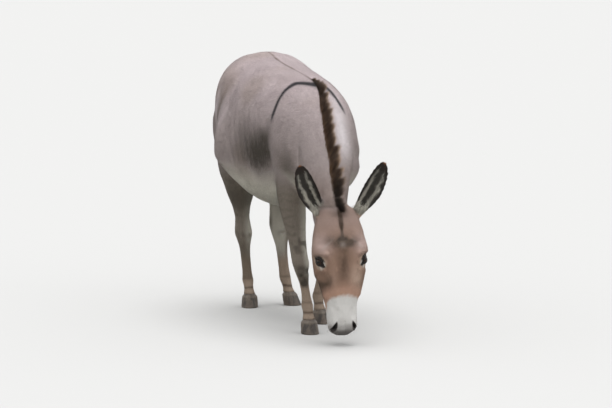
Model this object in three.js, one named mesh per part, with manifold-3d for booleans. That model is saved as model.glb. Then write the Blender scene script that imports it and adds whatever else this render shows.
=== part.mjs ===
// A grazing donkey, life size, as a still display model.
// Millimetres, +Z up. The animal faces -Y and its right side is -X.
// Every part of the body is a loft: a stack of rings whose sizes are read from
// a short table of stations, one row for each place that an anatomist would name.

import * as THREE from 'three';
import Module from 'manifold-3d';

const wasm = await Module();
wasm.setup();

// Driving dimensions.
const NECK_TURN = 0.155;          // slope of the neck's path to its right, seen from above
const HEAD_POLL = new THREE.Vector3(-68, -508, 606);
const HEAD_AXIS = new THREE.Vector3(14, -36, -552).normalize();
const HEAD_TURN = 6;              // degrees, towards the animal's right
const CORONET_HEIGHT = 56;        // where the hair stops and the horn begins
const HOOF_HALF_WIDTH = 41;
const HOOF_LEAN = 0.28;           // forward travel of the hoof wall for each millimetre down
const EYE_RADIUS = 21;
const EAR_HALF_WIDTH = 49;
const MANE_HEIGHT = 70;
const MANE_LEAN = 0.2;            // sideways travel of the mane's top for its height
const CUT = 0.32;                 // gap between neighbouring parts

const RINGS_PER_METRE = { trunk: 18, neck: 25, head: 48, leg: 25 };
const SIDES = { trunk: 24, neck: 20, head: 24, leg: 13, hoof: 14, tail: 8, mane: 6, eye: 10 };

const COLOURS = {
  coat: 0x9c8b84, face: 0x8f7566, leg: 0x93857b, earCoat: 0x7d6656,
  mane: 0x3a2a22, horn: 0x4a423b, eye: 0x17100d,
};

// ---------------------------------------------------------------- stations

// Trunk, along y from breast to buttock, with y = 0 at the withers.
// Columns: top, bottom, half width, height of the widest point, roundness above, below.
const TRUNK = [
  ['breast tip',     -224,  790,  704,  44,  748, 2.0, 2.0],
  ['breast',         -206,  872,  652, 100,  756, 2.0, 2.0],
  ['shoulder point', -150,  975,  608, 148,  776, 1.9, 2.1],
  ['shoulder',        -70, 1064,  578, 174,  818, 1.9, 2.0],
  ['withers',           0, 1100,  559, 191,  855, 2.0, 1.9],
  ['girth',           100, 1124,  544, 212,  862, 2.1, 2.0],
  ['ribs',            210, 1140,  523, 233,  860, 2.2, 2.2],
  ['barrel',          330, 1154,  510, 253,  852, 2.25, 2.4],
  ['last rib',        460, 1172,  515, 264,  855, 2.3, 2.45],
  ['flank',           560, 1188,  560, 251,  900, 2.2, 2.1],
  ['hip bones',       640, 1212,  612, 240,  965, 2.3, 2.0],
  ['croup',           705, 1219,  648, 241,  980, 2.3, 2.0],
  ['tail head',       800, 1190,  690, 231,  965, 2.2, 2.0],
  ['seat',            868, 1138,  735, 196,  940, 2.0, 2.0],
  ['buttock',         918, 1060,  795, 138,  930, 2.0, 2.0],
  ['buttock tip',     942,  975,  880,  54,  928, 2.0, 2.0],
];

// Neck, along its length from withers to poll. Columns: y and z of the crest,
// y and z of the lower edge, half width, x of the middle.
const NECK = [
  ['inside the chest', 0,   20, 1045, -110, 640, 118,   0],
  ['base',             1, -110, 1026, -214, 650, 126, -17],
  ['lower neck',       2, -225,  926, -264, 598, 110, -35],
  ['middle',           3, -335,  819, -300, 556,  93, -51],
  ['upper neck',       4, -430,  714, -328, 518,  81, -67],
  ['behind the ears',  5, -494,  630, -345, 486,  74, -77],
  ['inside the skull', 6, -492,  566, -366, 455,  60, -78],
];

// Head, from the poll down to the lips. Columns: face line and jaw line, measured
// forwards from the poll, half width, line of the widest point, roundness front, back.
const HEAD = [
  ['crown',        -10,  -62,  -92,  26,  -78, 2.0, 2.0],
  ['poll',           6,  -30, -130,  58,  -74, 2.0, 2.0],
  ['ear roots',     36,   -8, -158,  82,  -66, 2.1, 2.0],
  ['temple',        80,    8, -180, 100,  -60, 2.2, 1.9],
  ['forehead',     130,   18, -198, 112,  -54, 2.4, 1.8],
  ['brow',         185,   25, -214, 119,  -48, 2.5, 1.7],
  ['eyes',         236,   24, -226, 115,  -50, 2.5, 1.7],
  ['cheeks',       296,   17, -222, 104,  -56, 2.5, 1.7],
  ['face crest',   350,   10, -202,  90,  -58, 2.4, 1.8],
  ['nose',         398,    4, -178,  78,  -58, 2.2, 1.9],
  ['bars',         436,    0, -160,  68,  -58, 2.2, 2.0],
  ['nostrils',     492,   -2, -142,  63,  -56, 2.3, 2.1],
  ['upper lip',    526,  -11, -128,  60,  -60, 2.3, 2.2],
  ['lips',         549,  -28, -108,  48,  -66, 2.2, 2.2],
  ['lip edge',     560,  -48,  -86,  24,  -67, 2.0, 2.0],
];

// Foreleg, from the upper arm down. Columns: front, back and half width about its axis.
const FORELEG = [
  ['upper arm',    770,  60,  62, 40],
  ['arm',          700,  84,  98, 60],
  ['elbow',        630,  88, 106, 64],
  ['forearm',      560,  73,  82, 62],
  ['mid forearm',  485,  54,  54, 54],
  ['lower arm',    400,  43,  44, 44],
  ['above knee',   345,  40,  41, 41],
  ['knee',         298,  43,  42, 40],
  ['below knee',   258,  34,  38, 33],
  ['cannon',       215,  24,  33, 24],
  ['low cannon',   158,  23,  31, 23],
  ['fetlock',      120,  30,  38, 29],
  ['pastern',       88,  25,  28, 25],
  ['coronet',       66,  31,  32, 32],
  ['horn line', CORONET_HEIGHT + CUT, 35, 35, 35],
];

// Hind leg, from the hip down, with the same columns as the foreleg.
const HINDLEG = [
  ['hip',         1050,  60,  60,  36],
  ['upper thigh',  985, 118, 108,  76],
  ['thigh',        900, 158, 144, 104],
  ['seat',         820, 184, 154, 108],
  ['stifle',       735, 186, 152, 100],
  ['lower thigh',  660, 150, 144,  98],
  ['gaskin head',  590, 108, 112,  78],
  ['gaskin',       520,  78,  86,  61],
  ['low gaskin',   465,  54,  68,  44],
  ['above hock',   425,  46,  67,  37],
  ['hock point',   392,  46,  68,  41],
  ['hock',         348,  48,  54,  45],
  ['below hock',   300,  37,  42,  34],
  ['cannon head',  260,  29,  36,  28],
  ['cannon',       205,  27,  35,  27],
  ['low cannon',   158,  27,  34,  27],
  ['fetlock',      124,  31,  40,  30],
  ['pastern',       90,  26,  28,  25],
  ['coronet',       67,  32,  33,  32],
  ['horn line', CORONET_HEIGHT + CUT, 36, 36, 35],
];

// Where each leg's axis runs. Columns: x, y and how far the limb is turned out, in degrees.
const STANCE = {
  foreleg_right: [
    ['arm', 770, -112, 25, 0], ['elbow', 620, -112, 14, 0], ['forearm', 490, -107, -16, 0],
    ['knee', 298, -92, -58, 0], ['cannon', 215, -81, -74, 0], ['fetlock', 120, -72, -94, 0],
    ['horn line', CORONET_HEIGHT, -76, -124, 0],
  ],
  foreleg_left: [
    ['arm', 770, 112, 38, 0], ['elbow', 620, 108, 54, 0], ['forearm', 490, 100, 78, 2],
    ['knee', 298, 87, 122, 4], ['cannon', 215, 79, 148, 6], ['fetlock', 120, 72, 174, 6],
    ['horn line', CORONET_HEIGHT, 70, 146, 6],
  ],
  hindleg_right: [
    ['hip', 1050, -120, 775, 0], ['thigh', 900, -134, 776, 0], ['stifle', 735, -128, 748, 0],
    ['gaskin', 590, -113, 776, 6], ['hock', 392, -88, 806, 16], ['cannon', 260, -81, 792, 18],
    ['fetlock', 124, -77, 762, 16], ['horn line', CORONET_HEIGHT, -79, 728, 16],
  ],
  hindleg_left: [
    ['hip', 1050, 120, 775, 0], ['thigh', 900, 134, 776, 0], ['stifle', 735, 124, 748, 4],
    ['gaskin', 590, 107, 776, 14], ['hock', 392, 97, 804, 30], ['cannon', 260, 105, 790, 35],
    ['fetlock', 124, 114, 764, 36], ['horn line', CORONET_HEIGHT, 121, 732, 36],
  ],
};

// Muscles and bones that stand out from the lofts: centre, reach and height.
const TRUNK_BUMPS = [
  ...bothSides([118, -168, 705], [70, 60, 70], 14),      // point of the shoulder
  ...bothSides([178, 10, 740], [90, 85, 110], 9),        // triceps
  ...bothSides([120, -15, 960], [60, 80, 110], 9),       // shoulder blade
  ...bothSides([215, 112, 700], [70, 34, 130], -12),     // groove behind the shoulder
  ...bothSides([228, 530, 1010], [80, 55, 90], -16),     // hollow of the flank
  ...bothSides([205, 640, 1110], [60, 45, 50], 12),      // hip bone
  ...bothSides([236, 340, 690], [90, 160, 110], 13),     // grass belly
  ...bothSides([262, 605, 764], [125, 125, 140], 96),    // paunch in front of the stifle
];
const HEAD_BUMPS = [
  ...bothSides([106, -8, 198], [28, 32, 34], 10),        // brow over the eye
  ...bothSides([92, -134, 250], [60, 58, 74], 9),        // jaw muscle
  ...bothSides([92, -62, 330], [24, 18, 60], 5),         // face crest
  ...bothSides([108, -14, 238], [20, 20, 24], -2),       // eye socket
  ...bothSides([52, -20, 505], [22, 22, 24], 5),         // nostril wing
  ...bothSides([60, -4, 160], [34, 26, 40], -4),         // hollow over the eye
  [new THREE.Vector3(0, -120, 530), [40, 20, 26], 8],    // chin
];

// ------------------------------------------------------------- shape tools

function bothSides([x, y, z], reach, height) {
  return [-1, 1].map((side) => [new THREE.Vector3(side * x, y, z), reach, height]);
}

// One column of a table as a smooth function of the position along the table,
// a monotone cubic, so that no size overshoots its stations.
function column(table, index) {
  const rows = table.map((row) => [row[1], row[index]]).sort((a, b) => a[0] - b[0]);
  const steps = rows.slice(1).map((row, i) => (row[1] - rows[i][1]) / (row[0] - rows[i][0]));
  const slopes = rows.map((row, i) => {
    if (i === 0 || i === rows.length - 1) return steps[Math.min(i, steps.length - 1)];
    if (steps[i - 1] * steps[i] <= 0) return 0;
    return (2 * steps[i - 1] * steps[i]) / (steps[i - 1] + steps[i]);
  });
  return (at) => {
    let i = rows.findIndex((row) => row[0] > at) - 1;
    if (at <= rows[0][0]) i = 0;
    else if (i < 0) i = rows.length - 2;
    const width = rows[i + 1][0] - rows[i][0];
    const t = THREE.MathUtils.clamp((at - rows[i][0]) / width, 0, 1);
    const u = 1 - t;
    return rows[i][1] * (1 + 2 * t) * u * u + rows[i + 1][1] * t * t * (3 - 2 * t)
      + width * (slopes[i] * t * u * u - slopes[i + 1] * t * t * u);
  };
}

// A superellipse: its cosine and sine with the sign kept and the corners filled out.
function rounded(value, roundness) {
  return Math.sign(value) * Math.abs(value) ** (2 / roundness);
}

// Positions along a loft: evenly spaced, with extra rings close to both ends.
function spacing(first, last, count, crowd = 0.25) {
  return Array.from({ length: count + 1 }, (_, i) => {
    const t = i / count;
    const eased = t - (crowd * Math.sin(2 * Math.PI * t)) / (2 * Math.PI);
    return first + (last - first) * eased;
  });
}

// Pushes a ring point outwards by the bumps that reach it, and by the clearance.
function swell(point, outward, bumps, grow) {
  let height = grow;
  for (const [centre, reach, tall] of bumps) {
    const dx = (point.x - centre.x) / reach[0];
    const dy = (point.y - centre.y) / reach[1];
    const dz = (point.z - centre.z) / reach[2];
    height += tall * Math.exp(-(dx * dx + dy * dy + dz * dz));
  }
  return point.addScaledVector(outward, height);
}

// Closes a stack of equal rings into one solid, with a fan over each end.
function stack(rings) {
  const sides = rings[0].length;
  const points = rings.flat();
  const triangles = [];
  for (let i = 0; i + 1 < rings.length; i += 1) {
    for (let j = 0; j < sides; j += 1) {
      const a = i * sides + j;
      const b = i * sides + ((j + 1) % sides);
      triangles.push(a, b, b + sides, a, b + sides, a + sides);
    }
  }
  [rings[0], rings[rings.length - 1]].forEach((ring, end) => {
    const base = end === 0 ? 0 : (rings.length - 1) * sides;
    const hub = points.length;
    points.push(ring.reduce((sum, p) => sum.add(p), new THREE.Vector3()).divideScalar(sides));
    for (let j = 0; j < sides; j += 1) {
      const next = base + ((j + 1) % sides);
      triangles.push(hub, ...(end === 0 ? [next, base + j] : [base + j, next]));
    }
  });
  return solid(points, triangles);
}

// A manifold solid from points and triangles, turned the right way out.
function solid(points, triangles) {
  const corner = (index) => points[triangles[index]];
  let volume = 0;
  for (let i = 0; i < triangles.length; i += 3) {
    volume += corner(i).dot(new THREE.Vector3().crossVectors(corner(i + 1), corner(i + 2)));
  }
  const order = volume < 0 ? [0, 2, 1] : [0, 1, 2];
  const triVerts = new Uint32Array(triangles.length);
  for (let i = 0; i < triangles.length; i += 3) {
    order.forEach((from, to) => { triVerts[i + to] = triangles[i + from]; });
  }
  const vertProperties = new Float32Array(points.flatMap((p) => [p.x, p.y, p.z]));
  return new wasm.Manifold(new wasm.Mesh({ numProp: 3, vertProperties, triVerts }));
}

function ringOf(sides, place) {
  return Array.from({ length: sides }, (_, j) => place((2 * Math.PI * (j + 0.5)) / sides));
}

// ---------------------------------------------------------------- the body

function trunkLoft(grow = 0) {
  const [top, bottom, half, wide, above, below] = [2, 3, 4, 5, 6, 7].map((i) => column(TRUNK, i));
  const first = TRUNK[0][1];
  const last = TRUNK[TRUNK.length - 1][1];
  const count = Math.round(((last - first) / 1000) * RINGS_PER_METRE.trunk);
  return stack(spacing(first, last, count, 0.5).map((y, i) => {
    const middle = wide(y);
    const endwards = i === 0 ? -grow : i === count ? grow : 0;
    return ringOf(SIDES.trunk, (angle) => {
      const roundness = Math.sin(angle) > 0 ? above(y) : below(y);
      const rise = rounded(Math.sin(angle), roundness);
      const point = new THREE.Vector3(
        half(y) * rounded(Math.cos(angle), roundness),
        y + endwards,
        middle + rise * (rise > 0 ? top(y) - middle : middle - bottom(y)),
      );
      const outward = new THREE.Vector3(Math.cos(angle), 0, Math.sin(angle));
      return swell(point, outward, TRUNK_BUMPS, grow);
    });
  }));
}

const neckColumns = [2, 3, 4, 5, 6, 7].map((i) => column(NECK, i));

function neckAt(t) {
  const [crestY, crestZ, throatY, throatZ, half, middleX] = neckColumns.map((size) => size(t));
  return {
    crest: new THREE.Vector3(middleX, crestY, crestZ),
    throat: new THREE.Vector3(middleX, throatY, throatZ),
    half,
  };
}

function neckLoft(grow = 0) {
  const last = NECK.length - 1;
  const count = Math.round(0.62 * RINGS_PER_METRE.neck);
  const side = new THREE.Vector3(1, -NECK_TURN, 0).normalize();
  return stack(spacing(0, last, count, 0).map((t) => {
    const { crest, throat, half } = neckAt(t);
    const middle = crest.clone().lerp(throat, 0.56);
    return ringOf(SIDES.neck, (angle) => {
      const rise = rounded(Math.sin(angle), 2);
      const edge = rise > 0 ? crest : throat;
      const narrow = rise > 0 ? 1 - 0.32 * rise : 1;     // the crest is thinner than the throat
      const point = middle.clone().lerp(edge, Math.abs(rise));
      point.addScaledVector(side, half * narrow * Math.cos(angle));
      const outward = point.clone().sub(middle).normalize();
      return swell(point, outward, [], grow);
    });
  }));
}

// The head's own frame: x to its left, y backwards from the face, z down to the lips.
const headFrame = (() => {
  const turn = THREE.MathUtils.degToRad(HEAD_TURN);
  const down = HEAD_AXIS;
  const left = new THREE.Vector3(Math.cos(turn), -Math.sin(turn), 0);
  left.addScaledVector(down, -left.dot(down)).normalize();
  const front = new THREE.Vector3().crossVectors(left, down).normalize().negate();
  return { left, front, down };
})();

function onHead(x, forward, z) {
  return HEAD_POLL.clone().addScaledVector(headFrame.left, x)
    .addScaledVector(headFrame.front, forward).addScaledVector(headFrame.down, z);
}

function headLoft(grow = 0) {
  const [face, jaw, half, wide, front, back] = [2, 3, 4, 5, 6, 7].map((i) => column(HEAD, i));
  const first = HEAD[0][1];
  const last = HEAD[HEAD.length - 1][1];
  const count = Math.round(((last - first) / 1000) * RINGS_PER_METRE.head);
  return stack(spacing(first, last, count, 0.3).map((z, i) => {
    const middle = wide(z);
    const endwards = i === 0 ? -grow : i === count ? grow : 0;
    return ringOf(SIDES.head, (angle) => {
      const roundness = Math.sin(angle) > 0 ? front(z) : back(z);
      const rise = rounded(Math.sin(angle), roundness);
      const point = new THREE.Vector3(
        half(z) * rounded(Math.cos(angle), roundness),
        middle + rise * (rise > 0 ? face(z) - middle : middle - jaw(z)),
        z + endwards,
      );
      const outward = new THREE.Vector3(Math.cos(angle), Math.sin(angle), 0);
      swell(point, outward, HEAD_BUMPS, grow);
      return onHead(point.x, point.y, point.z);
    });
  }));
}

function eyeBall(side, grow = 0) {
  const centre = onHead(side * 89, -22, 238);
  const shape = new THREE.SphereGeometry(EYE_RADIUS + grow, SIDES.eye, SIDES.eye - 4);
  return fromGeometry(shape, centre);
}

// A closed three.js geometry as a solid, with its seam and poles joined.
function fromGeometry(geometry, centre) {
  const { position } = geometry.attributes;
  const points = [];
  const known = new Map();
  const index = Array.from(geometry.index.array, (i) => {
    const point = new THREE.Vector3().fromBufferAttribute(position, i).add(centre);
    const key = point.toArray().map((value) => value.toFixed(3)).join();
    if (!known.has(key)) known.set(key, points.push(point) - 1);
    return known.get(key);
  });
  const triangles = [];
  for (let i = 0; i < index.length; i += 3) {
    const [a, b, c] = index.slice(i, i + 3);
    if (a !== b && b !== c && c !== a) triangles.push(a, b, c);
  }
  return solid(points, triangles);
}

// -------------------------------------------------------------------- legs

function legLoft(table, stance, grow = 0) {
  const [front, back, half] = [2, 3, 4].map((i) => column(table, i));
  const [axisX, axisY, turn] = [2, 3, 4].map((i) => column(stance, i));
  const first = table[0][1];
  const last = table[table.length - 1][1];
  const outSign = Math.sign(stance[0][2]);
  const count = Math.round(((first - last) / 1000) * RINGS_PER_METRE.leg);
  return stack(spacing(first, last, count, 0.35).map((z, i) => {
    const angleOut = outSign * THREE.MathUtils.degToRad(turn(z));
    const middle = new THREE.Vector3(axisX(z), axisY(z), i === 0 ? z + grow : z);
    return ringOf(SIDES.leg, (angle) => {
      const reach = Math.sin(angle) > 0 ? back(z) : front(z);
      const offset = new THREE.Vector3(
        (half(z) + grow) * Math.cos(angle),
        (reach + grow) * Math.sin(angle),
        0,
      );
      return offset.applyAxisAngle(new THREE.Vector3(0, 0, 1), angleOut).add(middle);
    });
  }));
}

function hoof(stance) {
  const bottom = stance[stance.length - 1];
  const angleOut = Math.sign(bottom[2]) * THREE.MathUtils.degToRad(bottom[4]);
  const levels = [CORONET_HEIGHT, CORONET_HEIGHT * 0.82, CORONET_HEIGHT * 0.4, 3, 0];
  return stack(levels.map((z) => {
    const down = 1 - z / CORONET_HEIGHT;
    const half = THREE.MathUtils.lerp(35, HOOF_HALF_WIDTH, Math.sqrt(down)) - (z === 0 ? 2 : 0);
    const toe = THREE.MathUtils.lerp(36, 50, down) - (z === 0 ? 2 : 0);
    const heel = THREE.MathUtils.lerp(36, 40, down) - (z === 0 ? 2 : 0);
    const lean = -HOOF_LEAN * (CORONET_HEIGHT - z);
    const middle = new THREE.Vector3(0, lean, 0)
      .applyAxisAngle(new THREE.Vector3(0, 0, 1), angleOut)
      .add(new THREE.Vector3(bottom[2], bottom[3], z));
    return ringOf(SIDES.hoof, (angle) => {
      const reach = Math.sin(angle) > 0 ? heel : toe;
      const offset = new THREE.Vector3(half * Math.cos(angle), reach * Math.sin(angle), 0);
      return offset.applyAxisAngle(new THREE.Vector3(0, 0, 1), angleOut).add(middle);
    });
  }));
}

// ---------------------------------------------------- ears, mane and tail

// A leaf-shaped cup from its root to its tip, open towards the front and outside.
function ear(side, root, tip, facing) {
  const width = column([['root', 0, 26], ['neck', 0.12, 29], ['rise', 0.3, 42],
    ['widest', 0.5, EAR_HALF_WIDTH], ['upper', 0.72, 44], ['narrow', 0.88, 33], ['round', 0.96, 20],
    ['tip', 1, 7]], 2);
  const depth = column([['root', 0, 38], ['rise', 0.3, 38], ['middle', 0.55, 29],
    ['upper', 0.8, 16], ['tip', 1, 3]], 2);
  const wall = column([['root', 0, 26], ['rise', 0.25, 15], ['middle', 0.5, 12], ['tip', 1, 5]], 2);
  const along = tip.clone().sub(root);
  const slant = facing.dot(along) / along.lengthSq();
  const open = facing.clone().addScaledVector(along, -slant).normalize();
  const across = new THREE.Vector3().crossVectors(along, open).normalize();
  const steps = 5;
  const rings = spacing(0, 1, 12, 0.3).map((t) => {
    const bow = 16 * Math.sin(Math.PI * t) * side;       // the ear curves a little outwards
    const middle = root.clone().addScaledVector(along, t)
      .addScaledVector(new THREE.Vector3(1, 0, 0), bow);
    const place = (a, lift) => middle.clone()
      .addScaledVector(across, a * width(t))
      .addScaledVector(open, lift - depth(t) * (1 - a * a));
    const behind = Array.from({ length: steps + 1 }, (_, i) => place(-1 + (2 * i) / steps, 0));
    const inside = Array.from({ length: steps + 1 }, (_, i) => {
      const a = 1 - (2 * i) / steps;
      return place(a * 0.86, wall(t) * (0.6 + 0.4 * (1 - a * a)));
    });
    return [...behind, ...inside];
  });
  return stack(rings);
}

// The upright mane, a thin crest that stands on the neck from withers to poll.
function mane() {
  const count = 18;
  const withers = [[1, 14, 1098], [-8, -52, 1070]].map((p) => new THREE.Vector3(...p));
  const crests = [1.2, 2, 3, 4, 5, 5.4].map((t) => neckAt(t).crest);
  const path = new THREE.CatmullRomCurve3([...withers, ...crests]);
  const rings = spacing(0, 1, count, 0.2).map((t, i) => {
    const crest = path.getPointAt(t);
    const ahead = path.getTangentAt(t);
    const up = new THREE.Vector3(0, ahead.z, -ahead.y).normalize();
    const ends = Math.min(1, (i + 0.4) / 4, (count - i + 0.9) / 3);
    const tall = MANE_HEIGHT * ends;
    const lean = new THREE.Vector3(MANE_LEAN * tall, 0, 0);
    const base = crest.clone().addScaledVector(up, -14);
    return ringOf(SIDES.mane, (angle) => {
      const rise = (Math.sin(angle) + 1) / 2;
      const thick = THREE.MathUtils.lerp(17, 7, rise) * Math.cos(angle);
      return base.clone().addScaledVector(up, rise * (tall + 14))
        .addScaledVector(lean, rise * rise)
        .add(new THREE.Vector3(thick, 0, 0));
    });
  });
  return stack(rings);
}

// A round tapering tube along a curve.
function tube(points, radii, count, grow = 0) {
  const path = new THREE.CatmullRomCurve3(points);
  const radius = column(radii.map((r, i) => ['', i / (radii.length - 1), r]), 2);
  const frames = path.computeFrenetFrames(count, false);
  return stack(spacing(0, 1, count, 0).map((t, i) => {
    const middle = path.getPointAt(t);
    return ringOf(SIDES.tail, (angle) => middle.clone()
      .addScaledVector(frames.normals[i], (radius(t) + grow) * Math.cos(angle))
      .addScaledVector(frames.binormals[i], (radius(t) + grow) * Math.sin(angle)));
  }));
}

function dock(grow = 0) {
  const bones = [[0, 856, 1128], [-1, 922, 1098], [-4, 958, 1030], [-12, 970, 940],
    [-22, 968, 850], [-31, 962, 770]].map((p) => new THREE.Vector3(...p));
  return tube(bones, [40, 32, 26, 22, 19, 16], 12, grow);
}

function tailTuft() {
  const fall = [[-26, 966, 815], [-34, 962, 740], [-46, 958, 620], [-57, 952, 500], [-68, 944, 392]]
    .map((p) => new THREE.Vector3(...p));
  return tube(fall, [17, 26, 36, 38, 34, 22, 5], 12);
}

// ---------------------------------------------------------------- assembly

const LEG_TABLES = { foreleg: FORELEG, hindleg: HINDLEG };
const legs = Object.keys(STANCE).map((name) => ({
  name,
  side: name.split('_')[1],
  end: name.startsWith('fore') ? 'fore' : 'hind',
  loft: (grow) => legLoft(LEG_TABLES[name.split('_')[0]], STANCE[name], grow),
}));

function without(body, ...others) {
  return others.reduce((rest, other) => rest.subtract(other), body);
}

function largest(body) {
  return body.decompose().sort((a, b) => b.volume() - a.volume())[0];
}

const clear = 1.5 * CUT;          // how far a part's neighbours are grown before they cut it
const trunkRoom = trunkLoft(clear);
const neckRoom = neckLoft(clear);
const headRoom = headLoft(clear);
const legRooms = legs.map((leg) => leg.loft(clear));
const EYES = { eye_right: -1, eye_left: 1 };
const EARS = {
  ear_right: ear(-1, onHead(-62, -50, 56), onHead(-150, -92, -176), new THREE.Vector3(-0.40, -1, 0.1)),
  ear_left: ear(1, onHead(70, -50, 56), onHead(231, -92, -170), new THREE.Vector3(0.12, -1, 0.25)),
};

const donkey = new THREE.Group();

function addPart(name, body, colour, roughness) {
  const mesh = largest(body).getMesh();
  const geometry = new THREE.BufferGeometry();
  geometry.setAttribute('position', new THREE.BufferAttribute(new Float32Array(mesh.vertProperties), 3));
  geometry.setIndex(new THREE.BufferAttribute(new Uint32Array(mesh.triVerts), 1));
  geometry.computeVertexNormals();
  const material = new THREE.MeshStandardMaterial({ color: colour, roughness, metalness: 0 });
  const part = new THREE.Mesh(geometry, material);
  part.name = name;
  donkey.add(part);
}

addPart('trunk', without(trunkLoft(), ...legRooms), COLOURS.coat, 0.9);
addPart('neck', without(neckLoft(), trunkRoom, headRoom), COLOURS.coat, 0.9);
addPart('head', without(headLoft(), ...Object.values(EYES).map((s) => eyeBall(s, CUT))), COLOURS.face, 0.9);
Object.entries(EYES).forEach(([name, side]) => addPart(name, eyeBall(side), COLOURS.eye, 0.1));
Object.entries(EARS).forEach(([name, body]) => {
  addPart(name, without(body, headRoom, neckRoom), COLOURS.earCoat, 0.9);
});
legs.forEach((leg) => {
  addPart(leg.name, leg.loft(0), COLOURS.leg, 0.9);
  addPart(`hoof_${leg.end}_${leg.side}`, hoof(STANCE[leg.name]), COLOURS.horn, 0.5);
});
addPart('mane', without(mane(), trunkRoom, neckRoom, headRoom), COLOURS.mane, 0.85);
addPart('tail', without(dock(), trunkRoom, ...legRooms), COLOURS.coat, 0.9);
addPart('tail_tuft', without(tailTuft(), dock(clear)), COLOURS.mane, 0.85);

// The origin lies under the middle of the whole animal, at ground level.
const bounds = new THREE.Box3().setFromObject(donkey);
const centre = bounds.getCenter(new THREE.Vector3());
donkey.position.set(-centre.x, -centre.y, 0);

export default donkey;
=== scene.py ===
"""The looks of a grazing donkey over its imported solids: one skin, a coat of mesh
tufts that lie along it, mane and tail hair, eyes and hooves. Metres, +Z up."""
import math

import bmesh
import bpy
import numpy as np
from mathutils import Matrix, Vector
from mathutils.bvhtree import BVHTree
from mathutils.kdtree import KDTree


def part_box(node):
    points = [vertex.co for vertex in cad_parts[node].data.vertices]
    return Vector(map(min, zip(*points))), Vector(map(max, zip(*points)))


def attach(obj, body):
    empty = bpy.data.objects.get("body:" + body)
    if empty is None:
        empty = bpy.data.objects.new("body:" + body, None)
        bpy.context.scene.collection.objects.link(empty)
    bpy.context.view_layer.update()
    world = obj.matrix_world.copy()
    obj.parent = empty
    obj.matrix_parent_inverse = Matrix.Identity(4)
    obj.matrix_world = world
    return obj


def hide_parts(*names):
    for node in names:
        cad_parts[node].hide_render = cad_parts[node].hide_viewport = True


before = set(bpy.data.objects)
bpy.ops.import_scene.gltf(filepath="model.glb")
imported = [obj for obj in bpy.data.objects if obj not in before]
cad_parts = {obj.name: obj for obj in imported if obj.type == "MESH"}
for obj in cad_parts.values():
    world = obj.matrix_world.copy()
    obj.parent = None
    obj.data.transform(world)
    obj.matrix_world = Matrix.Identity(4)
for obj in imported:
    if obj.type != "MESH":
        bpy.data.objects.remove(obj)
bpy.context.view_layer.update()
rng = np.random.default_rng(7)

VOXEL = 0.0065  # grid of the skin, which is twice as fine round the head
FINE_REACH = 0.45  # how far from the middle of the head it stays fine
SOFT_ROUNDS = 70  # rounds of smoothing of the skin

REGIONS = ["trunk", "neck", "head", "ear_right", "ear_left", "foreleg_right",
           "foreleg_left", "hindleg_right", "hindleg_left", "tail"]
TRUNK, NECK, HEAD, EAR_R, EAR_L, FORE_R, FORE_L, HIND_R, HIND_L, TAIL = range(10)
EARS, FORELEGS = [EAR_R, EAR_L], [FORE_R, FORE_L]
LEGS = FORELEGS + [HIND_R, HIND_L]
SIDE = {FORE_R: -1, FORE_L: 1, HIND_R: -1, HIND_L: 1}
TURN_OUT = {FORE_R: 0, FORE_L: 5, HIND_R: 17, HIND_L: 35}  # degrees, at the foot
TUFTS_PER_M2 = {TRUNK: 78000, NECK: 100000, HEAD: 210000, TAIL: 120000,
                **dict.fromkeys(EARS, 230000), **dict.fromkeys(LEGS, 105000)}
CUTS = {TRUNK: (1, [-0.02, 0.33]), HEAD: (2, [0.36])}  # where a big coat is cut, along y or z

# For each region, in the order of REGIONS. The smoothing reaches over the trunk's wide
# facets and keeps the ears thin.
COAT_DEPTH = np.array([0.0036, 0.0032, 0.0018, 0.0012, 0.0012, 0.0026, 0.0026, 0.0028, 0.0028, 0.003])
SMOOTHING = np.array([0.02, 0.017, 0.0075, 0.0028, 0.0028, 0.0085, 0.0085, 0.0095, 0.0095, 0.007])

# Colours of the coat.
GREY, SUNLIT, CREAM = (0.42, 0.355, 0.345), (0.58, 0.485, 0.495), (0.73, 0.7, 0.61)
SHADE, BLACK = (0.06, 0.05, 0.036), (0.009, 0.008, 0.008)
FACE, BROW_PINK, STREAK = (0.37, 0.235, 0.17), (0.66, 0.5, 0.46), (0.12, 0.078, 0.055)
RUST, REDDISH, TAN = (0.36, 0.135, 0.045), (0.6, 0.37, 0.275), (0.5, 0.4, 0.31)
WHITE, LEG, CANNON = (0.82, 0.805, 0.78), (0.3, 0.258, 0.215), (0.44, 0.335, 0.255)
EAR_BACK, EAR_HAIR = (0.33, 0.225, 0.155), (0.62, 0.59, 0.51)


def unit(v):
    return v / np.maximum(np.linalg.norm(v, axis=-1, keepdims=True), 1e-9)


def dot(a, b):
    return np.einsum("...i,...i", a, b)


def ramp(x, low, high):
    t = np.clip((x - low) / (high - low), 0, 1)
    return t * t * (3 - 2 * t)


def fade(x, low, high):
    return 1 - ramp(x, low, high)


def bell(x, middle, reach):
    return np.exp(-(((x - middle) / reach) ** 2))


def mix(a, b, t):
    a, b = np.asarray(a), np.asarray(b)
    return a + (b - a) * np.asarray(t)[..., None]


def painted(c, layers):
    """The colour c under layers, each with its name, its colour and its strength from 0 to 1."""
    for _, colour, strength in layers:
        c = mix(c, colour, np.clip(strength, 0, 1))
    return c


def noise(p, size, seed=0):
    """Smooth noise from -1 to 1 at the points p, with lumps of about the given size."""
    q = p / size + 37.1 * (seed + 1)
    cell = np.floor(q).astype(np.int64)
    f = q - cell
    f = f * f * (3 - 2 * f)
    total = np.zeros(len(p))
    for corner in np.ndindex(2, 2, 2):
        i, j, k = (cell + corner).T
        h = (i * 73856093) ^ (j * 19349663) ^ (k * 83492791) ^ (seed * 7919)
        h = ((h ^ (h >> 13)) * 1274126177) & 0xFFFFFF
        total += np.prod(np.where(corner, f, 1 - f), axis=1) * (h / 0x7FFFFF - 1)
    return total


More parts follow.
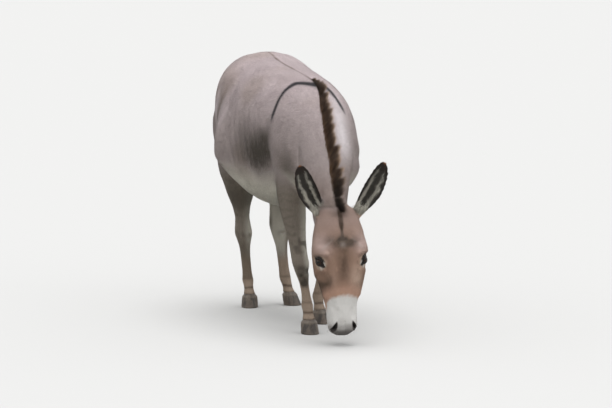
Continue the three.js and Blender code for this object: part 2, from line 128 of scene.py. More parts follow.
def to_segment(p, a, b):
    """Distance of each point from the line between a and b."""
    a, b = np.array(a), np.array(b)
    along = b - a
    t = np.clip((p - a) @ along / max(along @ along, 1e-9), 0, 1)
    return np.linalg.norm(p - a - t[:, None] * along, axis=1)


#  places on the body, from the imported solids


def middle(node):
    low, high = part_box(node)
    return (np.array(low) + np.array(high)) / 2


EYES = {-1: middle("eye_right"), 1: middle("eye_left")}
EYE_RADIUS = 0.0208
BACK_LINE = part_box("trunk")[1]
SHOULDER_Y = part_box("trunk")[0].y + 0.224  # the withers, along the body
LEFT = unit(EYES[1] - EYES[-1])
DOWN = np.array([0.0, -0.065, -0.998])
DOWN = unit(DOWN - DOWN @ LEFT * LEFT)
FRONT = np.cross(DOWN, LEFT)
POLL = (EYES[1] + EYES[-1]) / 2 + 0.022 * FRONT - 0.238 * DOWN


def head_place(p):
    """Left, forwards and down from the poll."""
    q = p - POLL
    return np.stack([q @ LEFT, q @ FRONT, q @ DOWN], -1)


def on_head(left, forwards, down):
    return POLL + left * LEFT + forwards * FRONT + down * DOWN


def ear_frame(side, root, tip, facing):
    root, tip = on_head(*root), on_head(*tip)
    axis = tip - root
    opening = unit(np.array(facing) - np.array(facing) @ axis / (axis @ axis) * axis)
    across = unit(np.cross(axis, opening))
    return {"root": root, "axis": axis, "opening": opening, "across": across, "side": side}


EAR = {
    EAR_R: ear_frame(-1, (-0.062, -0.05, 0.056), (-0.15, -0.092, -0.176), (-0.4, -1, 0.1)),
    EAR_L: ear_frame(1, (0.07, -0.05, 0.056), (0.231, -0.092, -0.17), (0.12, -1, 0.25)),
}


def ear_place(p, ear):
    """Along the ear (0 root, 1 tip), across it (-1 to 1 at the rims) and its lift to the open side."""
    t = (p - ear["root"]) @ ear["axis"] / (ear["axis"] @ ear["axis"])
    bow = 0.016 * np.sin(np.pi * np.clip(t, 0, 1)) * ear["side"]
    q = p - ear["root"] - t[:, None] * ear["axis"] - bow[:, None] * np.array([1, 0, 0])
    half = np.interp(t, [0, 0.12, 0.3, 0.5, 0.72, 0.88, 0.96, 1],
                     [0.026, 0.029, 0.042, 0.049, 0.044, 0.033, 0.02, 0.007])
    return t, q @ ear["across"] / half, q @ ear["opening"]


#  mesh tools


def make_mesh(name, points, faces):
    mesh = bpy.data.meshes.new(name)
    mesh.vertices.add(len(points))
    mesh.vertices.foreach_set("co", np.asarray(points, np.float32).ravel())
    sides = faces.shape[1]
    mesh.loops.add(faces.size)
    mesh.loops.foreach_set("vertex_index", faces.astype(np.int32).ravel())
    mesh.polygons.add(len(faces))
    mesh.polygons.foreach_set("loop_start", np.arange(0, faces.size, sides, dtype=np.int32))
    mesh.update(calc_edges=True)
    return mesh


def add_object(name, mesh, material=None, smooth=True):
    ob = bpy.data.objects.new(name, mesh)
    bpy.context.scene.collection.objects.link(ob)
    if smooth:
        mesh.shade_smooth()
    if material:
        mesh.materials.clear()
        mesh.materials.append(material)
    return ob


def read(collection, field, kind=np.float32, width=3):
    out = np.empty(len(collection) * width, kind)
    collection.foreach_get(field, out)
    return out.reshape(-1, width) if width > 1 else out


def points_of(mesh):
    return read(mesh.vertices, "co").astype(float)


def normals_of(mesh):
    return read(mesh.vertex_normals, "vector").astype(float)


def triangles_of(mesh):
    mesh.calc_loop_triangles()
    return read(mesh.loop_triangles, "vertices", np.int32)


def place_points(mesh, points):
    mesh.vertices.foreach_set("co", points.astype(np.float32).ravel())
    mesh.update()


def add_values(mesh, name, values, kind="FLOAT_COLOR"):
    layer = mesh.attributes.new(name, kind, "POINT")
    if kind == "FLOAT_COLOR":
        layer.data.foreach_set("color", np.c_[values, np.ones(len(values))].astype(np.float32).ravel())
    elif kind == "FLOAT_VECTOR":
        layer.data.foreach_set("vector", values.astype(np.float32).ravel())
    else:
        layer.data.foreach_set("value", values.astype(np.float32))


class Net:
    """A mesh's edges, for averaging values over each vertex's neighbours."""

    def __init__(self, mesh):
        edges = read(mesh.edges, "vertices", np.int32, 2)
        self.a, self.b = np.concatenate([edges, edges[:, ::-1]]).T
        self.count = len(mesh.vertices)
        self.degree = np.maximum(np.bincount(self.a, minlength=self.count), 1)[:, None]

    def mean(self, values):
        sums = [np.bincount(self.a, v[self.b], self.count) for v in values.T]
        return np.stack(sums, 1) / self.degree

    def soften(self, values, rounds, amount):
        for _ in range(rounds):
            values = values + amount * (self.mean(values) - values)
        return values

    def spacing(self, points):
        lengths = np.linalg.norm(points[self.a] - points[self.b], axis=1)
        return np.bincount(self.a, lengths, self.count)[:, None] / self.degree


#  the skin: the flesh solids joined, smoothed, sculpted and sunk by the coat's depth

HEAD_CORE = on_head(0, -0.08, 0.25)


def stretched(p):
    d = p - HEAD_CORE
    r = np.linalg.norm(d, axis=1, keepdims=True)
    return HEAD_CORE + d * np.where(r < FINE_REACH, 2, 1 + FINE_REACH / np.maximum(r, FINE_REACH))


def unstretched(p):
    d = p - HEAD_CORE
    r = np.linalg.norm(d, axis=1, keepdims=True)
    return HEAD_CORE + d * np.where(r < 2 * FINE_REACH, 0.5, 1 - FINE_REACH / np.maximum(r, 2 * FINE_REACH))


def joined_flesh():
    points, faces, owner, start = [], [], [], 0
    for node in REGIONS + ["eye_right", "eye_left"]:
        index = REGIONS.index(node) if node in REGIONS else HEAD
        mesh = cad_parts[node].data
        tris = triangles_of(mesh)
        points.append(points_of(mesh))
        faces.append(tris + start)
        owner += [index] * len(tris)
        start += len(mesh.vertices)
    return np.concatenate(points), np.concatenate(faces), np.array(owner)


def remeshed(name, points, faces, size):
    ob = add_object(name, make_mesh(name, points, faces), smooth=False)
    step = ob.modifiers.new("grid", "REMESH")
    step.mode, step.voxel_size = "VOXEL", size
    mesh = bpy.data.meshes.new_from_object(ob.evaluated_get(bpy.context.evaluated_depsgraph_get()))
    bpy.data.objects.remove(ob)
    return mesh


def refine(mesh, spots, weights):
    """Halves the faces round each (place, reach), and gives the new vertices their weights."""
    before = points_of(mesh)
    bm = bmesh.new()
    bm.from_mesh(mesh)
    centres = np.array([f.calc_center_median() for f in bm.faces])
    keep = np.zeros(len(centres), bool)
    for place, reach in spots:
        keep |= np.linalg.norm(centres - place, axis=1) < reach
    edges = {e for f, k in zip(bm.faces, keep) if k for e in f.edges}
    bmesh.ops.subdivide_edges(bm, edges=list(edges), cuts=1, use_grid_fill=True)
    bm.to_mesh(mesh)
    bm.free()
    mesh.update()
    tree = KDTree(len(before))
    near = np.where(np.min([np.linalg.norm(before - s, axis=1) - r for s, r in spots], axis=0) < 0.02)[0]
    for i in near:
        tree.insert(before[i], i)
    tree.balance()
    extra = [tree.find(p)[1] for p in points_of(mesh)[len(before):]]
    return np.concatenate([weights, weights[extra]])


#  the eyelids: the skin opens in an almond over each eyeball and rests on it elsewhere

LID = 0.0026  # how far the lid's edge stands off the ball
HALF_LID = 0.0194  # half the width of the opening between the lids
UPPER_LID, LOWER_LID = 0.0118, 0.0094  # its height above and below the corners


def eye_frame(side):
    out = unit(0.7 * side * LEFT + 0.71 * FRONT - 0.04 * DOWN)
    corner = unit(-0.52 * FRONT - 0.7 * DOWN + 0.42 * side * LEFT)  # towards the outer corner
    corner = unit(corner - corner @ out * out)
    up = np.cross(out, corner) * side
    return out, corner, up if up @ DOWN < 0 else -up


def lid_arch(x):
    """The lids' opening along its width: 1 in the middle and 0 at the corners."""
    return np.clip(1 - (np.abs(x) / HALF_LID) ** 2.2, 0, 1)


def eye_gap(p, side):
    """Distance outside the almond opening of the lids (below zero is inside it)."""
    out, corner, up = eye_frame(side)
    d = unit(p - EYES[side])
    x, y = EYE_RADIUS * (d @ corner), EYE_RADIUS * (d @ up)
    tall = np.where(y > 0, UPPER_LID, LOWER_LID) * lid_arch(x)
    gap = np.abs(y) - tall + np.clip(np.abs(x) - HALF_LID, 0, None)
    return np.where(d @ out > 0.1, gap, 0.02)


def open_lids(p):
    for side, centre in EYES.items():
        ray = p - centre
        far = np.linalg.norm(ray, axis=1)
        near = far < 0.045
        gap = eye_gap(p[near], side)
        out = eye_frame(side)[0]
        ahead = ramp(unit(ray[near]) @ out, 0.0, 0.4)
        rest = EYE_RADIUS + LID + 0.0016 * bell(gap, 0.0035, 0.0025) - 0.0022 * bell(gap, 0.0085, 0.002)
        lid = np.maximum(far[near], rest * ahead + far[near] * (1 - ahead))
        lid = mix(lid[:, None], rest[:, None], bell(gap, 0, 0.006) * ahead)[:, 0]
        pit = np.where(ahead > 0.5, EYE_RADIUS * 0.9, far[near])
        size = mix(pit[:, None], lid[:, None], ramp(gap, -0.0009, 0.0005))[:, 0]
        p[near] = centre + ray[near] * (size / far[near])[:, None]
    return p


#  forms under the skin: strokes along lines, each with a width and a height

BODY_STROKES = [
    # name, from, to, width, height; the animal's left side, mirrored to the right
    ("blade ridge", (0.085, -0.215, 1.02), (0.165, -0.335, 0.8), 0.022, 0.005),
    ("hollow before blade", (0.105, -0.315, 0.93), (0.15, -0.395, 0.78), 0.025, -0.005),
    ("girth groove", (0.185, -0.125, 0.92), (0.205, -0.15, 0.66), 0.02, -0.009),
    ("triceps", (0.172, -0.215, 0.82), (0.165, -0.2, 0.7), 0.045, 0.006),
    ("point of shoulder", (0.125, -0.385, 0.735), (0.125, -0.385, 0.735), 0.035, 0.008),
    ("breast groove", (0.0, -0.44, 0.82), (0.0, -0.42, 0.66), 0.016, -0.01),
    ("breast muscle", (0.055, -0.425, 0.78), (0.06, -0.4, 0.68), 0.03, 0.005),
    ("flank hollow", (0.238, 0.31, 0.96), (0.242, 0.345, 0.84), 0.036, -0.008),
    ("point of hip", (0.205, 0.42, 1.105), (0.212, 0.42, 1.095), 0.028, 0.007),
    ("thigh groove", (0.205, 0.59, 1.0), (0.15, 0.64, 0.72), 0.016, -0.005),
    ("thigh muscle", (0.215, 0.52, 0.98), (0.2, 0.56, 0.8), 0.045, 0.004),
    ("tail groove", (0.055, 0.69, 1.06), (0.05, 0.715, 0.9), 0.014, -0.005),
    ("croup side", (0.07, 0.42, 1.2), (0.055, 0.58, 1.19), 0.03, -0.003),
    ("neck groove", (0.05, -0.61, 0.585), (0.11, -0.45, 0.72), 0.016, -0.004),
    ("windpipe", (-0.06, -0.565, 0.5), (-0.03, -0.48, 0.63), 0.022, 0.003),
    ("crest hollow", (0.04, -0.56, 0.8), (0.075, -0.42, 0.92), 0.022, -0.003),
]
NECK_SHIFT = 0.155  # the neck and its strokes turn to the right ahead of the shoulders


def neck_shift(y):
    return NECK_SHIFT * np.minimum(y - SHOULDER_Y + 0.1, 0)


def stroked(p, strokes):
    """How high the strokes raise the skin at each point."""
    return sum(tall * bell(to_segment(p, a, b), 0, width) for _, a, b, width, tall in strokes)


def body_relief(p, w):
    q = p.copy()
    q[:, 0] = np.abs(p[:, 0] - neck_shift(p[:, 1]) * (w[:, NECK] > 0.5))
    height = stroked(q, BODY_STROKES)
    ribs = np.cos(2 * np.pi * (p[:, 1] - 0.3 * (p[:, 2] - 0.85)) / 0.048)
    cage = bell(p[:, 1], 0.08, 0.16) * bell(p[:, 2], 0.84, 0.13)
    height += 0.0011 * ribs * cage * (np.abs(p[:, 0]) > 0.12)
    body = w[:, TRUNK] + w[:, NECK]
    height += body * (0.002 * noise(p, 0.13, 4) + 0.0004 * noise(p, 0.045, 5))
    return height * (body + 0.4 * (1 - body) * (p[:, 2] > 0.6))


def leg_line(region):
    """The leg's middle at each level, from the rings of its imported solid."""
    p = points_of(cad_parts[REGIONS[region]].data)
    near = {z: p[np.abs(p[:, 2] - z) < 0.002] for z in np.unique(np.round(p[:, 2], 3))}
    rings = {z: ring for z, ring in near.items() if len(ring) >= 12}
    centres = [(ring.min(0) + ring.max(0))[:2] / 2 for ring in rings.values()]
    return np.array(list(rings)), np.array(centres)


LEG_LINES = {region: leg_line(region) for region in LEGS}


def leg_place(p, region):
    """Outwards and backwards from the leg's own middle."""
    levels, centres = LEG_LINES[region]
    dx = p[:, 0] - np.interp(p[:, 2], levels, centres[:, 0])
    dy = p[:, 1] - np.interp(p[:, 2], levels, centres[:, 1])
    turn = np.radians(TURN_OUT[region]) * fade(p[:, 2], 0.3, 0.75)
    side = SIDE[region]
    out = side * dx * np.cos(turn) + dy * np.sin(turn)
    back = dy * np.cos(turn) - side * dx * np.sin(turn)
    return out, back


def leg_relief(p, w):
    height = np.zeros(len(p))
    z = p[:, 2]
    for region in LEGS:
        mine = w[:, region] > 0.2
        out, back = leg_place(p[mine], region)
        level = z[mine]
        flank = np.abs(out) / np.hypot(out, back).clip(1e-4)
        fore = region in FORELEGS
        low, high = (0.145, 0.255) if fore else (0.15, 0.3)
        shaft = ramp(level, low - 0.02, low + 0.02) * fade(level, high - 0.02, high + 0.02)
        form = -0.0034 * bell(back, 0.007, 0.0055) * shaft * flank
        form += 0.0026 * bell(level, 0.122, 0.014) * flank * (back > -0.005)
        if fore:
            form += 0.003 * bell(level, 0.305, 0.022) * flank * bell(back, -0.012, 0.016)
            form -= 0.0022 * bell(level, 0.27, 0.01) * (back < 0)
            form -= 0.004 * bell(back, 0.012, 0.01) * bell(level, 0.43, 0.07) * flank
            form += 0.005 * bell(level, 0.5, 0.05) * bell(back, -0.02, 0.02) * (out > 0)
        else:
            form -= 0.0075 * bell(back, 0.02, 0.012) * bell(level, 0.455, 0.055) * flank
            form += 0.0035 * bell(level, 0.345, 0.02) * flank * bell(back, -0.01, 0.02)
            form -= 0.0025 * bell(level, 0.385, 0.012) * flank * bell(back, 0.01, 0.012)
            form += 0.0045 * bell(level, 0.57, 0.05) * bell(back, -0.03, 0.03) * flank
        height[mine] += form * w[mine, region]
    return height


HEAD_STROKES = [
    # name, from, to (left, forwards, down), width, height; mirrored
    ("nasal edge", (0.036, 0.014, 0.27), (0.031, -0.004, 0.43), 0.011, 0.0022),
    ("nasal side", (0.062, -0.002, 0.31), (0.053, -0.016, 0.43), 0.014, -0.0036),
    ("forehead middle", (0.0, 0.025, 0.16), (0.0, 0.018, 0.3), 0.014, -0.0016),
    ("face crest", (0.104, -0.045, 0.285), (0.076, -0.042, 0.385), 0.011, 0.0055),
    ("under the crest", (0.096, -0.085, 0.33), (0.068, -0.072, 0.42), 0.017, -0.0055),
    ("cheek edge", (0.096, -0.17, 0.32), (0.1, -0.1, 0.3), 0.022, 0.0045),
    ("hollow over the eye", (0.07, 0.0, 0.16), (0.086, -0.014, 0.166), 0.016, -0.0085),
    ("brow", (0.074, 0.014, 0.206), (0.108, -0.026, 0.203), 0.012, 0.007),
    ("temple", (0.04, 0.008, 0.07), (0.052, 0.012, 0.14), 0.024, 0.0035),
    ("poll hollow", (0.0, 0.0, 0.03), (0.0, 0.012, 0.11), 0.014, -0.003),
    ("tear groove", (0.078, 0.008, 0.268), (0.068, 0.006, 0.3), 0.006, -0.002),
    ("between the jaws", (0.0, -0.225, 0.24), (0.0, -0.15, 0.44), 0.022, -0.012),
    ("jaw vein", (0.082, -0.1, 0.38), (0.086, -0.06, 0.33), 0.004, 0.0016),
    ("nostril wing", (0.05, -0.008, 0.495), (0.057, -0.022, 0.522), 0.011, 0.004),
    ("above the nostril", (0.036, 0.0, 0.455), (0.04, -0.001, 0.47), 0.014, -0.0035),
    ("upper lip", (0.0, -0.012, 0.535), (0.03, -0.018, 0.535), 0.014, 0.0035),
    ("lip middle", (0.0, -0.004, 0.5), (0.0, -0.022, 0.548), 0.004, -0.0018),
    ("chin", (0.0, -0.12, 0.52), (0.014, -0.118, 0.52), 0.018, 0.005),
]
NOSTRIL = (0.043, -0.02, 0.519)
LIPS = on_head(0, -0.075, 0.53)


def nostril_shape(h):
    """0 at the middle of each nostril, 1 at its rim: a comma that leans outwards."""
    u = np.abs(h[:, 0]) - NOSTRIL[0] - 0.35 * (h[:, 2] - NOSTRIL[2])
    wide = 0.007 + 0.12 * (h[:, 2] - NOSTRIL[2]).clip(-0.02, 0.02)
    out = np.hypot(u / wide, (h[:, 2] - NOSTRIL[2]) / 0.015)
    return np.where(h[:, 1] > -0.05, out, 9)


def mouth_line(h):
    """Distance from the line between the lips, for points low on the muzzle."""
    level = -0.076 - 0.1 * (h[:, 2] - 0.52) - 0.012 * ramp(np.abs(h[:, 0]), 0.02, 0.06)
    reach = ramp(h[:, 2], 0.462, 0.474)
    return h[:, 1] - level, reach


def head_relief(p, w):
    h = head_place(p)
    q = h.copy()
    q[:, 0] = np.abs(q[:, 0])
    height = stroked(q, HEAD_STROKES)
    rim = nostril_shape(h)
    height += 0.0024 * bell(rim, 1.35, 0.35) - 0.0135 * fade(rim, 0.55, 1.08)
    off, reach = mouth_line(h)
    height -= 0.0055 * bell(off, 0, 0.003) * reach
    height += 0.0022 * bell(off, 0.009, 0.006) * reach
    crease = np.sin(h[:, 2] * 620 + 400 * h[:, 0] ** 2)
    over = bell(np.abs(h[:, 0]), 0.086, 0.02) * bell(h[:, 2], 0.2, 0.012) * ramp(h[:, 1], -0.05, -0.01)
    height += 0.0003 * crease * over
    height += 0.0012 * noise(p, 0.035, 6) + 0.0005 * noise(p, 0.014, 7)
    return height * w[:, HEAD]


def coat_depth(p, w):
    return w @ COAT_DEPTH - 0.0008 * w[:, HEAD] * ramp(head_place(p)[:, 2], 0.4, 0.46)


def make_skin():
    flesh_points, flesh_faces, owner = joined_flesh()
    mesh = remeshed("skin", stretched(flesh_points), flesh_faces, VOXEL)
    p = unstretched(points_of(mesh))
    net = Net(mesh)
    tree = BVHTree.FromPolygons(flesh_points.tolist(), flesh_faces.tolist())
    own = np.array([owner[tree.find_nearest(q)[2]] for q in p])
    sharp = np.eye(len(REGIONS))[own]
    w = net.soften(sharp, 30, 0.5)
    seam = 1 - (w ** 2).sum(1)
    thin = sharp[:, EARS].sum(1) + w[:, EARS].sum(1)
    wish = w @ SMOOTHING + 0.014 * seam * np.clip(1 - 2 * thin, 0, 1) * (1 - 0.6 * w[:, HEAD])
    # At full strength the rounds reach about half their root in edges, and wish asks for less.
    amount = np.clip(wish[:, None] ** 2 / (SOFT_ROUNDS / 4 * net.spacing(p) ** 2), 0, 1)
    place_points(mesh, net.soften(p, SOFT_ROUNDS, 0.5 * amount))
    nostrils = [on_head(side * NOSTRIL[0], *NOSTRIL[1:]) for side in EYES]
    for eye_reach, nostril_reach, more in ((0.04, 0.03, [(LIPS, 0.07)]), (0.031, 0.022, [])):
        spots = [(eye, eye_reach) for eye in EYES.values()] + [(q, nostril_reach) for q in nostrils]
        w = refine(mesh, spots + more, w)
    p, n = points_of(mesh), normals_of(mesh)
    p = p + n * (body_relief(p, w) + leg_relief(p, w) + head_relief(p, w) - coat_depth(p, w))[:, None]
    place_points(mesh, open_lids(p))
    return mesh, w


skin_mesh, skin_w = make_skin()


#  the lie of the hair, its length, and the markings, all as functions of the place

WHORL = on_head(0.004, 0.022, 0.146)
WITHERS = np.array([0.0, SHOULDER_Y, BACK_LINE.z - 0.117])
NECK_AXIS = unit(WITHERS - POLL)


def lie_of_hair(p, n, w):
    """The way the hair points, along the skin."""
    side = np.sign(p[:, :1])
    up = n[:, 2:].clip(0, 1)
    trunk = np.concatenate([0.3 * side * up, np.ones_like(up), -0.55 * (1 - up)], axis=1)
    neck = NECK_AXIS * 0.9 + np.concatenate([0.3 * side * up, 0 * up, -0.75 * (1 - up)], axis=1)
    flow = w[:, [TRUNK]] * unit(trunk) + w[:, [NECK]] * unit(neck) + w[:, [HEAD]] * unit(p - WHORL)
    flow += w[:, LEGS].sum(1)[:, None] * [0, 0.16, -1] + w[:, [TAIL]] * [0, 0.35, -1]
    for region in EARS:
        flow += w[:, [region]] * unit(EAR[region]["axis"])
    wander = np.stack([noise(p, 0.05, seed) for seed in (11, 12, 13)], 1)
    flow = flow + (0.05 + 0.1 * w[:, [HEAD]]) * wander
    return unit(flow - dot(flow, n)[:, None] * n)


def ear_zone(p, n, region):
    """Where a point is along and across the ear, and how far inside the cup and on the rim."""
    t, a, _ = ear_place(p, EAR[region])
    inside = ramp(n @ EAR[region]["opening"], 0.05, 0.35) * ramp(t, 0.05, 0.16)
    rim = ramp(np.abs(a), 0.62, 0.8) * ramp(t, 0.1, 0.2)
    return t, a, inside, rim


def hair_length(p, n, w):
    """Long on the belly and the fetlocks, short on the face and round the eyes."""
    h = head_place(p)
    z = p[:, 2]
    trunk = 0.0108 + 0.006 * fade(z, BELLY_Z + 0.02, BELLY_Z + 0.12) + 0.002 * noise(p, 0.06, 14)
    fetlock = bell(z, 0.105, 0.02) * ramp(n[:, 1], 0.1, 0.6)
    leg = 0.0075 + 0.0035 * ramp(z, 0.3, 0.6) + 0.006 * fetlock + 0.004 * fade(z, 0.058, 0.075)
    eyes = np.min([np.linalg.norm(p - e, axis=1) for e in EYES.values()], axis=0)
    head = 0.0065 - 0.0028 * ramp(h[:, 2], 0.3, 0.45) + 0.005 * ramp(-h[:, 1], 0.14, 0.2) * (h[:, 2] < 0.36)
    head = head * (0.45 + 0.55 * ramp(eyes, 0.025, 0.05)) * (0.5 + 0.5 * ramp(nostril_shape(h), 1.3, 2.4))
    head = head * (1 - 0.35 * ramp(h[:, 2], 0.525, 0.545))
    out = w[:, TRUNK] * trunk + w[:, NECK] * 0.0115 + w[:, HEAD] * head
    out += w[:, LEGS].sum(1) * leg + w[:, EARS].sum(1) * 0.0065 + w[:, TAIL] * 0.016
    return out


def body_colour(p, n, w):
    x, y, z = np.abs(p[:, 0]), p[:, 1], p[:, 2]
    on_right = p[:, 0] < 0
    lumps = noise(p, 0.12, 21)
    streak = 0.6 * noise(p * [1, 1, 0.3], 0.014, 23) + 0.7 * noise(p * [1, 1, 0.3], 0.005, 24)
    # The side behind the shoulder is painted shade, a dark cloud over partly darker hair, with ripples as
    # hair parts over the ribs.
    ripple = np.cos(2 * np.pi * (y + 0.1 * (z - 0.8) + 0.012 * noise(p, 0.04, 27)) / 0.015)
    back = y + 0.095 + 0.25 * (z - 0.8) + 0.025 * lumps
    high = z - 0.795 + 0.025 * lumps + 0.012 * streak
    away = np.hypot(back / np.where(back < 0, 0.095, 0.31), high / np.where(high < 0, 0.125, 0.165))
    shoulder_shade = fade(away, 0.05, 1.15) * ramp(x, 0.12, 0.17) * (0.95 + 0.15 * ripple + 0.3 * streak)
    # The flank's fold, darkened with painted shade, lies between two pale edges.
    hip = ramp(x, 0.17, 0.215)
    ahead = bell(y + 0.45 * (z - 0.95), 0.355, 0.045) * bell(z, 0.92, 0.11) * hip
    fold = bell(y + 0.45 * (z - 0.97), 0.425, 0.026) * bell(z, 0.955, 0.11) * hip
    behind = bell(y + 0.3 * (z - 0.95), 0.505, 0.03) * bell(z, 0.955, 0.1) * hip
    # Painted shade on the lower shoulder, above the elbow.
    elbow = bell(y, -0.3, 0.08) * bell(z, 0.72, 0.09) * ramp(x, 0.08, 0.15)
    # A painted sheen of light on the left side of the neck, beside the mane.
    sheen_beside_mane = bell(p[:, 0] - neck_shift(y), 0.062, 0.04) * bell(y, -0.42, 0.13) * ramp(z, 0.72, 0.84)
    belly = fade(z + 0.026 * lumps + 0.01 * streak, BELLY_Z + 0.085, BELLY_Z + 0.225) * fade(y, 0.42, 0.55)
    inner_thigh = fade(x, 0.1, 0.17) * fade(z, 0.75, 0.95) * ramp(y, 0.5, 0.62)
    wave = 0.004 * noise(p, 0.05, 25)
    stripe = bell(x + wave, 0, 0.0062) * ramp(z, 0.8, 0.88) * (y > SHOULDER_Y - 0.02) * (n[:, 2] > -0.5)
    # The right branch of the cross runs back before it drops, the left one forwards.
    drop = BACK_LINE.z - 0.118 - z
    right = 0.064 * ramp(x, 0.0, 0.085) - 0.01 * ramp(x, 0.1, 0.18)
    lead = SHOULDER_Y - 0.002 + np.where(on_right, right, -0.125 * ramp(x, 0.015, 0.12))
    wide = 0.023 * (1 - 0.58 * ramp(x, 0.02, 0.15))
    end = np.where(on_right, 0.19, 0.15)
    cross = bell(y - lead + wave, 0, wide) * fade(drop, end - 0.06, end) * (z > 0.8)
    c = painted(GREY, [
        ("sunlit back", SUNLIT, ramp(z + 0.04 * lumps, 0.78, 1.16)),
        ("brown patches", (0.43, 0.335, 0.275), 0.35 * ramp(noise(p, 0.16, 22), 0.0, 0.7)),
        # painted shade behind the shoulder, over partly darker hair
        ("behind the shoulder", SHADE, np.clip(1.15 * shoulder_shade * w[:, TRUNK], 0, 0.93)),
        ("painted shade in the flank fold", (0.15, 0.115, 0.085), 0.62 * fold),
        ("back of the thigh", (0.26, 0.19, 0.135), 0.6 * ramp(y, 0.53, 0.6) * hip * bell(z, 0.9, 0.19)),
        ("behind the fold", (0.8, 0.71, 0.73), 0.7 * behind),
        ("ahead of the fold", (0.66, 0.57, 0.58), 0.55 * ahead),
        ("elbow", (0.14, 0.115, 0.088), 0.72 * elbow),
        ("painted sheen beside the mane", (0.88, 0.82, 0.84), 0.85 * sheen_beside_mane),
        ("belly", CREAM, w[:, TRUNK] * belly),
        ("inner thigh", CREAM, 0.8 * inner_thigh),
        ("throat", CREAM, 0.55 * w[:, NECK] * ramp(-n[:, 2], 0.15, 0.7)),
        ("low neck", (0.34, 0.255, 0.215), 0.6 * w[:, NECK] * fade(z, 0.62, 0.8)),
        ("back stripe", (0.12, 0.075, 0.055), 0.95 * stripe * (0.75 + 0.5 * noise(p, 0.03, 26))),
        ("cross", (0.016, 0.015, 0.02), np.clip(1.5 * cross, 0, 0.97)),
    ])
    return c * (1 + 0.1 * streak)[:, None]


def leg_colour(p, region):
    out, back = leg_place(p, region)
    z = p[:, 2]
    radius = np.hypot(out, back).clip(1e-4)
    away, front = out / radius, ramp(-back / radius, 0.1, 0.8)
    patchy = noise(p, 0.02, 31)
    bars = 0.5 + 0.5 * np.cos(2 * np.pi * (z + 0.016 * noise(p, 0.04, 32)) / 0.034)
    upper = ramp(z, 0.36, 0.42) * fade(z, 0.6, 0.68) * ramp(away, -0.1, 0.5)
    layers = [
        ("inside", CREAM, 0.75 * ramp(-away, -0.1, 0.7) * ramp(z, 0.16, 0.3)),
        ("cannon", CANNON, 0.85 * fade(z, 0.19, 0.27)),
        ("top", GREY, ramp(z, 0.6, 0.74)),
        ("bars", (0.13, 0.105, 0.08), 0.32 * upper * ramp(noise(p, 0.05, 33), -0.6, 0.4) * bars ** 3),
    ]
    if region in FORELEGS:
        knee = ramp(z, 0.185, 0.215) * fade(z, 0.275, 0.31) * front * (0.75 + 0.6 * patchy)
        layers += [
            ("knee", (0.06, 0.05, 0.038), np.clip(knee, 0, 0.9)),
            ("forearm", (0.08, 0.068, 0.055), 0.7 * bell(z, 0.4, 0.05) * front * ramp(patchy, -0.1, 0.5)),
            ("chestnut", (0.035, 0.03, 0.028), 1.4 * bell(z, 0.385, 0.013) * ramp(-away, 0.93, 0.99)),
        ]
    else:
        on_right = p[:, 0] < 0
        shin = np.where(on_right, 0.65, 0.2) * front * ramp(z, 0.11, 0.15) * fade(z, 0.27, 0.36)
        gaskin = np.where(on_right, 0.65, 0.4) * front * bell(z + 0.02 * patchy, 0.52, 0.09)
        crease = bell(z, 0.34, 0.018) * front * ramp(patchy, -0.3, 0.4)
        layers += [
            ("shin", (0.12, 0.095, 0.065), shin),
            ("gaskin", (0.1, 0.085, 0.062), gaskin),
            ("point of the hock", (0.1, 0.08, 0.06), 0.65 * bell(z, 0.39, 0.035) * ramp(back, 0.0, 0.03)),
            ("crease of the hock", (0.1, 0.08, 0.06), 0.6 * crease),
        ]
    bands = bell(z + 0.004 * patchy, 0.092, 0.0055) + 0.5 * bell(z, 0.135, 0.006)
    return painted(LEG, layers + [
        ("fetlock bands", (0.085, 0.055, 0.038), 0.75 * bands),
        ("coronet", (0.07, 0.055, 0.045), 0.7 * fade(z, 0.06, 0.072)),
    ])


